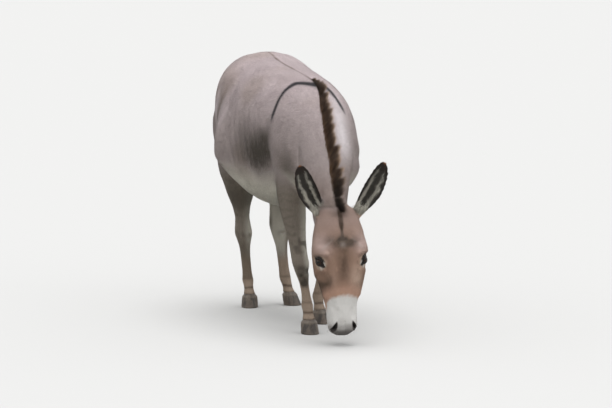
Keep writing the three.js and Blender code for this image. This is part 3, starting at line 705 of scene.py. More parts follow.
def face_colour(p):
    h = head_place(p)
    u, f, s = np.abs(h[:, 0]), h[:, 1], h[:, 2]
    on_right = h[:, 0] < 0
    patchy, hairs = noise(p, 0.03, 41), noise(p, 0.007, 42)
    brow = bell(u, 0.088, 0.042) * bell(s, 0.165, 0.046) * ramp(f, -0.09, -0.03)
    arch = bell(s - 0.9 * (u - 0.05), 0.15, 0.006) * ramp(u, 0.03, 0.05) * fade(u, 0.08, 0.1)
    forehead = bell(u, 0.018, 0.046) * bell(s, 0.154, 0.026) * (1.1 + 0.7 * patchy + 0.3 * hairs)
    nose = bell(u + 0.006 * patchy, 0.0, 0.026) * ramp(s, 0.16, 0.2) * fade(s, 0.27, 0.36)
    # A darker jaw, made much darker on the right with painted shadow on that cheek.
    jaw = bell(u, 0.08, 0.034) * bell(s + 0.01 * patchy, 0.352, 0.052) * np.where(on_right, 1.15, 0.3)
    # How far below the edge of the white muzzle, which runs lower on the sides.
    edge = s - 0.386 - 3.6 * u ** 2 - 0.05 * ramp(-f, 0.02, 0.08) + 0.004 * hairs + 0.003 * patchy
    wedge = fade(u, 0.004, 0.004 + 0.12 * (s - 0.085).clip(0.02, 1)) * ramp(s, 0.085, 0.1)
    c = painted(FACE, [
        ("poll", (0.37, 0.265, 0.225), fade(s, 0.06, 0.17)),
        ("side", (0.33, 0.285, 0.255), ramp(-f, 0.07, 0.15)),
        ("between the jaws", CREAM, 0.6 * ramp(-f, 0.15, 0.2) * (u < 0.07)),
        ("brow", BROW_PINK, 0.9 * brow),
        ("brow's arch", (0.56, 0.47, 0.43), 0.5 * arch),
        ("dark forehead", (0.105, 0.08, 0.063), np.clip(forehead, 0, 0.88)),
        ("whorl", (0.45, 0.38, 0.34), 0.6 * bell(u, 0.0, 0.012) * bell(s, 0.168, 0.014)),
        ("nose", STREAK, np.clip(0.55 * nose * (1 + 0.6 * patchy + 0.5 * hairs), 0, 0.8)),
        ("nose's edges", (0.62, 0.42, 0.33), 0.5 * bell(u, 0.046, 0.018) * bell(s, 0.32, 0.07)),
        # painted light on the left cheek, over its reddish hair
        ("painted light on the left cheek", (0.74, 0.54, 0.43), 0.85 * bell(h[:, 0], 0.06, 0.03) * bell(s, 0.32, 0.062)),
        ("jaw", (0.085, 0.06, 0.042), np.clip(jaw * (0.9 + 0.6 * patchy), 0, 0.85)),
        ("muzzle's edge", REDDISH, 0.85 * ramp(edge, -0.08, -0.02)),
        ("muzzle", WHITE, ramp(edge, -0.012, 0.01)),
        ("grey of the muzzle", (0.6, 0.58, 0.56), 0.5 * ramp(s, 0.44, 0.5) * ramp(patchy, -0.2, 0.6)),
        ("lips", (0.06, 0.052, 0.048), 0.92 * ramp(s + 0.006 * patchy, 0.524, 0.545)),
        ("above the lips", (0.26, 0.24, 0.23), 0.6 * ramp(s, 0.5, 0.522) * (u < 0.06)),
        ("nostril", (0.045, 0.038, 0.035), fade(nostril_shape(h) + 0.2 * patchy, 1.2, 2.0)),
        ("between the ears", (0.1, 0.07, 0.055), 0.55 * bell(s, 0.036, 0.02) * bell(u, 0, 0.05)),
        ("wedge over the whorl", (0.1, 0.075, 0.06), 0.75 * wedge * (s < 0.15)),
        ("spots by the whorl", (0.055, 0.042, 0.034), 0.8 * bell(u, 0.014, 0.008) * bell(s, 0.143, 0.006)),
    ])
    for side, eye in EYES.items():
        gap = eye_gap(p, side)
        near = np.linalg.norm(p - eye, axis=1)
        out, corner, _ = eye_frame(side)
        ring = fade(near, 0.03, 0.041) * (gap < 0.0199)
        line = to_segment(p, eye + 0.019 * corner + 0.015 * out, eye + 0.031 * corner + 0.006 * out)
        tear = p - eye + 0.019 * corner - 0.016 * out
        drip = to_segment(tear, (0, 0, 0), 0.016 * DOWN - 0.006 * corner)
        c = painted(c, [
            ("ring", TAN, 0.62 * ring),
            ("lids", BLACK, 0.97 * fade(gap + 0.001 * hairs, 0.0042, 0.0075) * fade(near, 0.029, 0.036)),
            ("line from the outer corner", BLACK, 0.85 * bell(line, 0, 0.0048)),
            ("its pale edge", (0.78, 0.72, 0.66), 0.75 * bell(drip, 0.012, 0.005) * ring * (gap > 0.004)),
            ("tear line", BLACK, 0.85 * bell(drip, 0, 0.0035) * (near < 0.05)),
        ])
    return c


def ear_colour(p, n, region):
    t, a, inside, rim = ear_zone(p, n, region)
    patchy = noise(p, 0.02, 51)
    height = t + 0.03 * patchy
    edges = bell(np.abs(a) + 0.2 * patchy, 0.46, 0.11) * (1 - 0.7 * ramp(t, 0.45, 0.8))
    base = np.clip(0.55 + 0.9 * noise(p, 0.005, 52), 0, 1)
    back = painted(EAR_BACK, [
        ("dark band", (0.075, 0.048, 0.034), 0.9 * bell(height, 0.22, 0.09)),
        ("brown half", (0.4, 0.27, 0.18), 0.5 * ramp(t, 0.35, 0.6)),
        ("dark tip", (0.05, 0.033, 0.026), ramp(height, 0.74, 0.9)),
    ])
    cup = painted((0.03, 0.026, 0.021), [
        ("hair along the edges", EAR_HAIR, 0.75 * edges),
        ("hair of the base", EAR_HAIR, base * fade(t, 0.14, 0.26)),
    ])
    return painted(back, [
        ("cup", cup, inside),
        ("rim", (0.016, 0.011, 0.009), rim * ramp(t, 0.14, 0.28) * (0.6 + 0.4 * inside)),
        ("end of the cup", (0.02, 0.013, 0.01), inside * ramp(t + 0.02 * patchy, 0.82, 0.88)),
        ("rust tip", RUST, 0.9 * ramp(t + 0.02 * patchy, 0.955, 0.985)),
    ])


def coat_colour(p, n, w):
    total = w[:, [TRUNK, NECK, TAIL]].sum(1)[:, None] * body_colour(p, n, w)
    total += w[:, [HEAD]] * face_colour(p)
    for region in LEGS + EARS:
        mine = w[:, region] > 0.01
        colour = leg_colour(p[mine], region) if region in LEGS else ear_colour(p[mine], n[mine], region)
        total[mine] += w[mine][:, [region]] * colour
    return total.clip(0.004, 0.95)


#  materials


class Nodes:
    """The nodes of a material, or of the world, added one after another."""

    def __init__(self, material):
        material.use_nodes = True
        self.material, self.tree = material, material.node_tree

    def add(self, kind, inputs=None, **settings):
        node = self.tree.nodes.new("ShaderNode" + kind)
        for key, value in settings.items():
            setattr(node, key, value)
        for key, value in (inputs or {}).items():
            self.put(node.inputs[key], value)
        return node

    def put(self, socket, value):
        if isinstance(value, bpy.types.NodeSocket):
            self.tree.links.new(value, socket)
        else:
            socket.default_value = value

    def set(self, **values):
        for key, value in values.items():
            self.put(self.tree.nodes["Principled BSDF"].inputs[key.replace("_", " ")], value)

    def attribute(self, name, output="Color"):
        return self.add("Attribute", attribute_name=name).outputs[output]

    def varied(self, colour, scale, low, high, where=None):
        """The colour times a noise between low and high."""
        grain = self.add("TexNoise", {"Scale": scale, "Detail": 3.0})
        if where is not None:
            self.put(grain.inputs["Vector"], where)
        level = self.add("MapRange", {0: grain.outputs["Fac"], 1: 0.3, 2: 0.7, 3: low, 4: high})
        times = self.add("VectorMath", {0: colour, 1: level.outputs[0]}, operation="MULTIPLY")
        return times.outputs[0]


def new_material(name):
    return Nodes(bpy.data.materials.new(name))


def skin_material():
    m = new_material("donkey_skin")
    coat, combed = m.attribute("coat"), m.attribute("combed", "Vector")
    colour = m.varied(coat, 900.0, 0.72, 1.18, combed)
    colour = m.varied(colour, 260.0, 0.86, 1.12, combed)
    grain = m.add("TexNoise", {"Scale": 1100.0, "Detail": 2.0, "Vector": combed})
    bump = m.add("Bump", {"Strength": 0.5, "Distance": 0.0012, "Height": grain.outputs["Fac"]})
    rough = m.add("MapRange", {0: m.attribute("bare", "Fac"), 1: 0.0, 2: 1.0, 3: 0.85, 4: 0.38})
    m.set(Base_Color=colour, Roughness=rough.outputs[0], Normal=bump.outputs[0], Specular_IOR_Level=0.3)
    return m.material


def hair_material(name, rough=0.62, specular=0.25):
    m = new_material(name)
    colour = m.varied(m.attribute("coat"), 420.0, 0.84, 1.16)
    m.set(Base_Color=colour, Roughness=rough, Specular_IOR_Level=specular)
    return m.material


def combed_place(p, flow):
    """Places squeezed along the lie of the hair, so that a noise there draws hairs."""
    return p - 0.9 * dot(p, flow)[:, None] * flow


#  dressing the skin

BELLY_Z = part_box("trunk")[0].z
skin_p, skin_n = points_of(skin_mesh), normals_of(skin_mesh)
skin_flow = lie_of_hair(skin_p, skin_n, skin_w)
SKIN_TRIS = triangles_of(skin_mesh)


def bareness(p, w):
    """1 on the wet or hairless skin of the lids, the nostrils and between the lips."""
    h = head_place(p)
    off, reach = mouth_line(h)
    lids = np.min([eye_gap(p, side) for side in EYES], axis=0)
    wet = np.maximum(fade(nostril_shape(h), 0.9, 1.35), fade(lids, 0.0012, 0.003))
    return np.maximum(wet, bell(off, 0, 0.003) * reach) * (w[:, HEAD] > 0.5)


def dress_skin():
    """The skin under the coat: darker than it, and darkest in the nostrils."""
    inside = fade(nostril_shape(head_place(skin_p)), 0.5, 0.9) * (skin_w[:, HEAD] > 0.5)
    under = mix(coat_colour(skin_p, skin_n, skin_w) * 0.8, (0.012, 0.009, 0.008), inside)
    add_values(skin_mesh, "coat", under)
    add_values(skin_mesh, "combed", combed_place(skin_p, skin_flow), "FLOAT_VECTOR")
    add_values(skin_mesh, "bare", bareness(skin_p, skin_w), "FLOAT")
    ob = add_object("skin", skin_mesh, skin_material())
    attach(ob, "root")
    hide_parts(*REGIONS)


dress_skin()


#  the coat: fine three-sided tufts rooted in the skin


def region_box(region):
    mine = skin_p[skin_w[:, region] > 0.5]
    return mine.min(0), mine.max(0)


SKIN_BOX = [region_box(region) for region in range(len(REGIONS))]


def unwrap(p, region):
    """A chart of the skin's own shape: round the part and along it, from 0 to 1."""
    low, high = SKIN_BOX[region]
    if region == HEAD:
        h = head_place(p)
        u, v = np.arctan2(h[:, 0], h[:, 1] + 0.08), h[:, 2] / 0.56
    elif region in EARS:
        t, a, lift = ear_place(p, EAR[region])
        u, v = np.arctan2(a * 0.04, lift + 0.012), t
    elif region in LEGS:
        out, back = leg_place(p, region)
        u, v = np.arctan2(out, -back), (p[:, 2] - low[2]) / (high[2] - low[2])
    elif region == NECK:
        q = p - POLL
        t = q @ NECK_AXIS
        drop = p[:, 2] - POLL[2] - t * NECK_AXIS[2] + 0.08
        u, v = np.arctan2(p[:, 0] - POLL[0] - t * NECK_AXIS[0], drop), t / 0.72 + 0.1
    elif region == TAIL:
        u, v = np.arctan2(p[:, 0], p[:, 1] - low[1] - 0.03), (p[:, 2] - low[2]) / (high[2] - low[2])
    else:
        u, v = np.arctan2(p[:, 0], p[:, 2] - 0.86), (p[:, 1] - low[1]) / (high[1] - low[1])
    return 0.01 + 0.98 * np.stack([u / (2 * np.pi) + 0.5, v.clip(0, 1)], 1)


PATCH = 0.0015  # half the width of a tuft's patch on its OFBake map


def hair_object(name, points, faces, colours, places, material):
    """places holds each vertex's OFBake coordinates."""
    mesh = make_mesh(name, points, faces)
    add_values(mesh, "coat", colours)
    layer = mesh.uv_layers.new(name="OFBake")
    layer.uv.foreach_set("vector", places[faces.ravel()].astype(np.float32).ravel())
    ob = add_object(name, mesh, material)
    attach(ob, "root")
    return ob


def scatter(wanted):
    """Even random places on the skin, wanted per square metre at each vertex."""
    a, b, c = (skin_p[SKIN_TRIS[:, i]] for i in range(3))
    area = np.linalg.norm(np.cross(b - a, c - a), axis=1) / 2
    share = np.cumsum(area * wanted[SKIN_TRIS].mean(1))
    count = int(share[-1])
    tri = np.searchsorted(share, (np.arange(count) + rng.random(count)).clip(0, share[-1] * 0.999999))
    r, s = np.sqrt(rng.random(count)), rng.random(count)
    weights = np.stack([1 - r, r * (1 - s), r * s], 1)[:, :, None]
    corners = SKIN_TRIS[tri]
    blend = [(values[corners] * weights).sum(1) for values in (skin_p, skin_n, skin_w, skin_flow)]
    return blend[0], unit(blend[1]), blend[2], unit(blend[3])


def spikes(p, n, flow, length, width, lift):
    """Three-sided tufts: two root corners, a raised middle root and a tip."""
    across = unit(np.cross(flow, n))
    up = np.sin(lift)[:, None]
    tip = p + length[:, None] * (flow * np.cos(lift)[:, None] + n * up)
    half = across * width[:, None] / 2
    root = p - n * 0.0004
    ridge = root + n * (0.45 * width)[:, None] + flow * (0.2 * length)[:, None]
    return np.stack([root - half, root + half, ridge, tip], 1).reshape(-1, 3)


def spike_faces(count):
    start = 4 * np.arange(count)[:, None]
    return np.stack([start + [0, 2, 3], start + [2, 1, 3], start + [1, 0, 3]], 1).reshape(-1, 3)


TUFT_THIN = 0.085  # a tuft's width as a part of its length
TUFT_SHADES = np.array([0.8, 0.8, 0.92, 1.11])  # at its two roots, its ridge and its tip


def grow_coat(region, material):
    """Covers a region with tufts, in one piece or in the pieces that CUTS makes of it."""
    p, n, w, flow = scatter(TUFTS_PER_M2[region] * skin_w[:, region])
    keep = bareness(p, w) < 0.35
    p, n, w, flow = p[keep], n[keep], w[keep], flow[keep]
    length = hair_length(p, n, w) * rng.uniform(0.7, 1.25, len(p))
    flow = unit(flow + 0.14 * rng.normal(size=p.shape))
    flow = unit(flow - dot(flow, n)[:, None] * n)
    lift = np.radians(6 + 4 * rng.random(len(p)) + 1.5 * noise(p, 0.05, 61))
    colour = coat_colour(p, n, w)
    shade = 1 + 0.13 * rng.normal(size=len(p)) + 0.1 * noise(combed_place(p, flow), 0.006, 62)
    colour = colour * shade.clip(0.55, 1.5)[:, None]
    points = spikes(p, n, flow, length, TUFT_THIN * length + 0.0003, lift)
    colours = (colour[:, None] * TUFT_SHADES[:, None]).reshape(-1, 3).clip(0, 0.95)
    corner = PATCH * np.array([[-1, -1], [1, -1], [0, -0.4], [0, 1]])
    places = (unwrap(p, region)[:, None] + corner).reshape(-1, 2)
    axis, edges = CUTS.get(region, (0, []))
    band = np.searchsorted(edges, p[:, axis])
    for k in range(len(edges) + 1):
        mine = np.where(band == k)[0]
        rows = (4 * mine[:, None] + np.arange(4)).ravel()
        name = "coat_" + REGIONS[region] + (f"_{k + 1}" if edges else "")
        hair_object(name, points[rows], spike_faces(len(mine)), colours[rows], places[rows], material)


COAT = hair_material("donkey_coat")
for _region in TUFTS_PER_M2:
    grow_coat(_region, COAT)


#  long hair: strands of several joints, three-sided, thinning to a point


def strand_mesh(paths, widths):
    """paths is (strands, joints, 3); the last joint is the tip."""
    count, joints = paths.shape[:2]
    ahead = unit(paths[:, 1:] - paths[:, :-1])
    side = unit(np.cross(ahead, [0.31, 0.17, 0.93]))
    over = np.cross(ahead, side)
    taper = (1 - np.arange(joints - 1) / (joints - 1)) ** 0.6
    rings = []
    for angle in (0.5, 2.6, 4.7):
        offset = math.cos(angle) * side + math.sin(angle) * over
        rings.append(paths[:, :-1] + offset * (widths[:, None] * taper)[:, :, None] / 2)
    body = np.stack(rings, 2).reshape(count, -1, 3)
    points = np.concatenate([body, paths[:, -1:]], 1)
    faces = []
    for k in range(joints - 2):
        for a, b in ((0, 1), (1, 2), (2, 0)):
            low, high = 3 * k, 3 * k + 3
            faces += [[low + a, low + b, high + b], [low + a, high + b, high + a]]
    last, tip = 3 * (joints - 2), 3 * (joints - 1)
    faces += [[last, last + 1, tip], [last + 1, last + 2, tip], [last + 2, last, tip]]
    size = 3 * (joints - 1) + 1
    faces = (np.array(faces)[None] + size * np.arange(count)[:, None, None]).reshape(-1, 3)
    return points.reshape(-1, 3), faces


def grow_strands(name, paths, widths, root_colour, tip_colour, region, material, nodes=()):
    """Builds strands coloured from root to tip, each with its own patch on the skin's chart."""
    points, faces = strand_mesh(paths, widths)
    joints = paths.shape[1]
    step = np.append(np.repeat(np.arange(joints - 1) / (joints - 1), 3), 1.0)
    blend = mix(root_colour[:, None], tip_colour[:, None], step ** 1.3)
    corner = np.stack([np.append(np.tile([-1, 1, 0], joints - 1), 0), 2 * step - 1], 1)
    places = unwrap(paths[:, 0], region)[:, None] + PATCH * corner
    colours = blend.reshape(-1, 3).clip(0, 0.95)
    ob = hair_object(name, points, faces, colours, places.reshape(-1, 2), material)
    if nodes:
        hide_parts(*nodes)


def bend(start, tip, sag, joints):
    """Paths from start to tip that bow by sag in the middle."""
    s = np.linspace(0, 1, joints)[None, :, None]
    bow = (4 * s * (1 - s)) * sag[:, None]
    return start[:, None] * (1 - s) + tip[:, None] * s + bow


CREST_UP = unit(np.array([0.0, -NECK_AXIS[2], NECK_AXIS[1]]))  # square to the neck


def crest_line(count=60):
    """The top of the neck, from a little behind the withers to the poll."""
    span = (POLL - WITHERS) @ -NECK_AXIS
    along = (skin_p - WITHERS) @ -NECK_AXIS / span
    tall = skin_p @ CREST_UP
    mine = skin_w[:, TRUNK] + skin_w[:, NECK] + skin_w[:, HEAD] > 0.9
    line = []
    for t in np.linspace(-0.08, 1.03, count):
        near = mine & (np.abs(along - t) < 0.012)
        best = skin_p[near][np.argsort(tall[near])[-12:]]
        line.append(best.mean(0))
    line = np.array(line)
    for _ in range(6):
        line[1:-1] = 0.5 * line[1:-1] + 0.25 * (line[2:] + line[:-2])
    return line


def along_line(line, t):
    """Points at fractions t of a line of points."""
    grid = np.linspace(0, 1, len(line))
    return np.stack([np.interp(t, grid, line[:, i]) for i in range(3)], -1)


def grow_mane(count=8600, clumps=19):
    """Upright hair in pointed clumps that lean to the left and back towards the withers."""
    line = crest_line()
    t = rng.random(count)
    edges = np.linspace(0, 1, clumps + 1) + np.r_[0, rng.uniform(-0.018, 0.018, clumps - 1), 0]
    clump = np.searchsorted(edges, t).clip(1, clumps) - 1
    own = (edges[clump] + edges[clump + 1]) / 2
    root, heart = along_line(line, t), along_line(line, own)
    ahead = unit(along_line(line, t + 0.02) - along_line(line, t - 0.02))
    up = unit(np.cross(ahead, [1.0, 0, 0]))
    up = up * np.sign(up[:, 2:])

    def per_clump(low, high):
        return rng.uniform(low, high, clumps)[clump]

    edge = rng.normal(size=count).clip(-2, 2) * (0.45 + 0.55 * ramp(t, 0.1, 0.35))
    across = 0.0072 * edge
    root = root + (across - 0.004)[:, None] * [1, 0, 0] - (0.004 + 0.35 * np.abs(across))[:, None] * up
    tall = (0.012 + 0.06 * ramp(t, -0.02, 0.24)) * per_clump(0.78, 1.14)
    tall = tall * rng.uniform(0.72, 1.06, count)
    tall = tall * (1 - 0.24 * np.abs(t - own) / (0.5 / clumps)) * (1 - 0.2 * ramp(t, 0.92, 1.0))
    lean = per_clump(0.26, 0.56) + 0.07 * rng.normal(size=count)
    back = per_clump(0.22, 0.52) + 0.1 * rng.normal(size=count)
    back = back * (1 - 0.8 * ramp(t, 0.88, 0.98))
    aim = unit(up + lean[:, None] * [1, 0, 0] - back[:, None] * ahead)
    gather = rng.uniform(0.2, 0.9, count) * per_clump(0.45, 1.0) * (1 - 0.45 * ramp(t, 0.84, 0.95))
    tip = root + gather[:, None] * (heart - root) + tall[:, None] * aim + 0.0026 * rng.normal(size=root.shape)
    sag = 0.0045 * np.array([-1.0, 0, 0]) + 0.002 * rng.normal(size=root.shape)
    dark = mix((0.02, 0.014, 0.01), (0.24, 0.15, 0.095), ramp(-edge, 0.6, 1.7) * fade(t, 0.8, 0.95))
    end = mix((0.07, 0.04, 0.026), (0.56, 0.38, 0.25), ramp(edge, -0.1, 1.0))
    end = mix(end, (0.026, 0.018, 0.014), 0.85 * ramp(t, 0.8, 0.95) * (rng.random(count) < 0.85))
    shade = rng.uniform(0.7, 1.3, (count, 1))
    paths, widths = bend(root, tip, sag, 5), rng.uniform(0.0008, 0.0013, count)
    grow_strands("mane_hair", paths, widths, dark * shade, end * shade, NECK, MANE, ["mane"])


def grow_forelock(count=320):
    """A thin lock that falls from the poll to the whorl of the brow."""
    s = rng.random(count)
    root = POLL + (0.008 * rng.normal(size=count).clip(-1.5, 1.5))[:, None] * LEFT
    root = root + (0.012 + 0.07 * s)[:, None] * DOWN
    root = on_skin(root + 0.05 * FRONT, -FRONT)
    reach = rng.uniform(0.018, 0.04, count)
    aim = unit(DOWN + 0.28 * FRONT + 0.12 * rng.normal(size=(count, 3)))
    tip = root + reach[:, None] * aim
    tip = tip - 0.6 * ((tip - POLL) @ LEFT)[:, None] * LEFT
    paths = bend(root - 0.002 * FRONT, tip, np.tile(0.003 * FRONT, (count, 1)), 4)
    dark = np.array([0.085, 0.056, 0.04]) * rng.uniform(0.6, 1.6, (count, 1))
    widths = rng.uniform(0.0007, 0.001, count)
    grow_strands("forelock", paths, widths, dark, dark * 1.5, HEAD, MANE)


SKIN_TREE = BVHTree.FromPolygons(skin_p.tolist(), SKIN_TRIS.tolist())


def on_skin(points, direction):
    """Where rays from the points meet the skin (the points themselves where they miss)."""
    out = points.copy()
    for i, p in enumerate(points):
        hit = SKIN_TREE.ray_cast(Vector(p), Vector(direction), 0.3)[0]
        if hit is not None:
            out[i] = hit
    return out


def skin_picks(chance, count):
    """Vertices of the skin picked with the given chances, with a little scatter."""
    pick = rng.choice(len(skin_p), count, p=chance / chance.sum())
    jitter = 0.0012 * rng.normal(size=(count, 3))
    n = skin_n[pick]
    return skin_p[pick] + jitter - dot(jitter, n)[:, None] * n, n, pick


def grow_ear_hair(count=1300):
    """Pale hair that fills the cups from both edges, longest at the root."""
    for region in EARS:
        ear = EAR[region]
        t, a, inside, _ = ear_zone(skin_p, skin_n, region)
        streak = bell(np.abs(a), 0.46, 0.1) * (1 - 0.6 * ramp(t, 0.5, 0.7))
        chance = skin_w[:, region] * inside * (streak + 1.5 * fade(t, 0.12, 0.26)) * fade(t, 0.78, 0.87)
        root, n, pick = skin_picks(chance, count)
        t, a = t[pick], a[pick]
        inward = -np.sign(a)[:, None] * unit(ear["across"])
        aim = unit(ear["axis"]) + 0.3 * inward * (0.3 + np.abs(a))[:, None] + 0.25 * n
        aim = unit(aim + 0.16 * rng.normal(size=root.shape))
        reach = (0.02 - 0.009 * ramp(t, 0.15, 0.8)) * rng.uniform(0.55, 1.15, count)
        paths = bend(root - 0.0008 * n, root + reach[:, None] * aim, 0.002 * n, 4)
        patches = 0.75 + 0.45 * ramp(noise(root, 0.006, 72), -0.3, 0.4)
        colour = np.array(EAR_HAIR) * (rng.uniform(0.55, 1.25, (count, 1)) * patches[:, None])
        widths = rng.uniform(0.0006, 0.0009, count)
        name = REGIONS[region] + "_hair"
        grow_strands(name, paths, widths, colour * 0.6, colour * 1.15, region, EAR_COAT)


def grow_switch(count=3000):
    """The tail's long hair, from the dock down to the hocks."""
    low, high = (np.array(v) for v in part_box("tail_tuft"))
    dock = skin_w[:, TAIL] * fade(skin_p[:, 2], low[2] + 0.45, low[2] + 0.6)
    root = skin_picks(dock + 1e-12, count)[0]
    angle = rng.uniform(0, 2 * np.pi, count)
    spread = np.sqrt(rng.random(count))
    drop = root[:, 2] - low[2]
    reach = np.minimum(drop - 0.006, rng.uniform(0.26, 0.62, count)) * (1 - 0.12 * spread * rng.random(count))
    s = np.linspace(0, 1, 6)
    z = root[:, 2:] - reach[:, None] * s
    # The switch's middle line and its radius, by the height above its end.
    levels = low[2] + np.array([0, 0.11, 0.23, 0.35, 0.43, 0.7])
    core_x = np.interp(z, levels, [-0.068, -0.057, -0.046, -0.034, -0.026, -0.006])
    core_y = np.interp(z, levels, high[1] - 0.04 + np.array([-0.004, 0.0, 0.003, 0.001, -0.002, -0.03]))
    radii = [0.004, 0.014, 0.022, 0.032, 0.034, 0.026]
    off = np.interp(z - low[2], [0, 0.05, 0.11, 0.23, 0.35, 0.43], radii) * spread[:, None]
    wave = 0.003 * np.sin(9 * z / 0.3 + 5 * noise(root, 0.02, 73)[:, None])
    x = core_x + off * np.cos(angle)[:, None] + wave
    y = core_y + off * np.sin(angle)[:, None] * 0.8
    ease = ramp(s, 0, 0.3)[None]
    x = root[:, :1] * (1 - ease) + x * ease
    y = root[:, 1:2] * (1 - ease) + y * ease
    paths = np.stack([x, y, z], -1)
    deep = mix((0.05, 0.034, 0.025), (0.21, 0.145, 0.105), ramp(spread, 0.7, 1.0) * 0.8)
    deep = mix(deep, (0.3, 0.24, 0.2), 0.7 * ramp(root[:, 2], low[2] + 0.42, low[2] + 0.6))
    deep = deep * rng.uniform(0.65, 1.35, (count, 1))
    widths = rng.uniform(0.0016, 0.0023, count)
    grow_strands("tail_hair", paths, widths, deep, deep * 0.8, TAIL, MANE, ["tail_tuft"])


def grow_lashes(count=70):
    """Dark lashes along the edges of the upper lids."""
    paths = []
    for side, centre in EYES.items():
        out, corner, up = eye_frame(side)
        x = rng.uniform(-0.012, 0.016, count)
        tall = UPPER_LID * lid_arch(x) + 0.0022
        flat = x[:, None] * corner + tall[:, None] * up
        depth = np.sqrt(np.maximum((EYE_RADIUS + LID) ** 2 - (flat ** 2).sum(1), 1e-6))
        root = centre + flat + depth[:, None] * out
        aim = unit(out + 0.1 * up + 0.55 * DOWN + 0.3 * (x / 0.016)[:, None] * corner
                   + 0.15 * rng.normal(size=root.shape))
        reach = rng.uniform(0.007, 0.013, count)
        paths.append(bend(root, root + reach[:, None] * aim, np.tile(0.0015 * DOWN, (count, 1)), 4))
    paths = np.concatenate(paths)
    dark = np.tile((0.014, 0.011, 0.01), (len(paths), 1))
    grow_strands("lashes", paths, np.full(len(paths), 0.00045), dark, dark * 1.5, HEAD, MANE)


def grow_whiskers(count=130):
    """Sparse bristles of the lips, the nostrils and the chin."""
    h = head_place(skin_p)
    chance = skin_w[:, HEAD] * ramp(h[:, 2], 0.47, 0.52) * (nostril_shape(h) > 1.6)
    root, n, _ = skin_picks(chance, count)
    reach = rng.uniform(0.008, 0.022, count)
    aim = unit(n + 0.35 * DOWN + 0.25 * rng.normal(size=root.shape))
    keep = (root + reach[:, None] * aim)[:, 2] > skin_p[skin_w[:, HEAD] > 0.5][:, 2].min() - 0.004
    root, n, reach, aim = root[keep], n[keep], reach[keep], aim[keep]
    paths = bend(root - 0.001 * n, root + reach[:, None] * aim, 0.002 * n, 4)
    pale = mix((0.5, 0.47, 0.43), (0.06, 0.05, 0.045), rng.random(len(root)) < 0.5)
    grow_strands("whiskers", paths, np.full(len(root), 0.00042), pale, pale, HEAD, MANE)


MANE = hair_material("donkey_mane", 0.45, 0.35)
EAR_COAT = hair_material("donkey_ear_hair")
grow_mane()
grow_forelock()
grow_ear_hair()
grow_switch()
grow_lashes()
grow_whiskers()


#  eyes and hooves


def eye_material():
    m = new_material("donkey_eye")
    m.set(Base_Color=m.varied(m.attribute("tone"), 1400.0, 0.6, 1.5), Roughness=0.05, IOR=1.36)
    return m.material


def ball(lats, longs):
    """A ball's directions, with x along its poles and the poles last, and its triangles."""
    theta = np.pi * np.arange(1, lats) / lats
    phi = 2 * np.pi * np.arange(longs) / longs
    axes = [np.outer(np.cos(theta), np.ones(longs))]
    axes += [np.outer(np.sin(theta), wave(phi)) for wave in (np.cos, np.sin)]
    ring = np.stack(axes, -1).reshape(-1, 3)
    grid = np.arange((lats - 1) * longs).reshape(lats - 1, longs)
    after = np.roll(grid, -1, axis=1)
    quads = np.stack([grid[:-1], grid[1:], after[1:], after[:-1]], -1).reshape(-1, 4)
    first, last = np.full(longs, len(ring)), np.full(longs, len(ring) + 1)
    caps = [np.stack([first, grid[0], after[0]], 1), np.stack([last, after[-1], grid[-1]], 1)]
    tris = np.concatenate([quads[:, [0, 1, 2]], quads[:, [0, 2, 3]]] + caps)
    return np.concatenate([ring, [[1, 0, 0], [-1, 0, 0]]]), tris


def make_eye(side, material):
    """A ball with a swollen cornea, and a lying oval pupil in a dark iris."""
    out = eye_frame(side)[0]
    d, tris = ball(96, 96)
    angle = np.arccos(np.clip(d[:, 0], -1, 1))
    local = d * (EYE_RADIUS * (1 + 0.06 * fade(angle, 0.45, 0.78)))[:, None]
    level = unit(np.cross(out, DOWN))
    points = EYES[side] + local[:, :1] * out + local[:, 1:2] * level + local[:, 2:] * np.cross(out, level)
    flat = np.abs(d[:, 1:])
    pupil = ((flat[:, 0] / 0.36) ** 2.6 + (flat[:, 1] / 0.17) ** 2.6) ** (1 / 2.6)
    tone = mix((0.026, 0.012, 0.006), (0.003, 0.003, 0.004), fade(pupil, 0.92, 1.08))
    tone = mix(tone, (0.006, 0.004, 0.003), ramp(angle, 0.58, 0.7))
    tone = mix(tone, (0.03, 0.019, 0.015), 0.5 * ramp(angle, 0.85, 1.05))
    name = "eye_right" if side < 0 else "eye_left"
    mesh = make_mesh(name + "_ball", points, tris)
    add_values(mesh, "tone", tone)
    ob = add_object(name + "_ball", mesh, material)
    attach(ob, "root")
    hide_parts(name)


def horn_material():
    m = new_material("donkey_horn")
    streaks = m.attribute("streaks", "Vector")
    grain = m.add("TexNoise", {"Scale": 300.0, "Detail": 4.0, "Vector": streaks})
    bump = m.add("Bump", {"Strength": 0.4, "Distance": 0.001, "Height": grain.outputs["Fac"]})
    colour = m.varied(m.attribute("tone"), 260.0, 0.72, 1.25, streaks)
    m.set(Base_Color=colour, Roughness=0.55, Normal=bump.outputs[0])
    return m.material


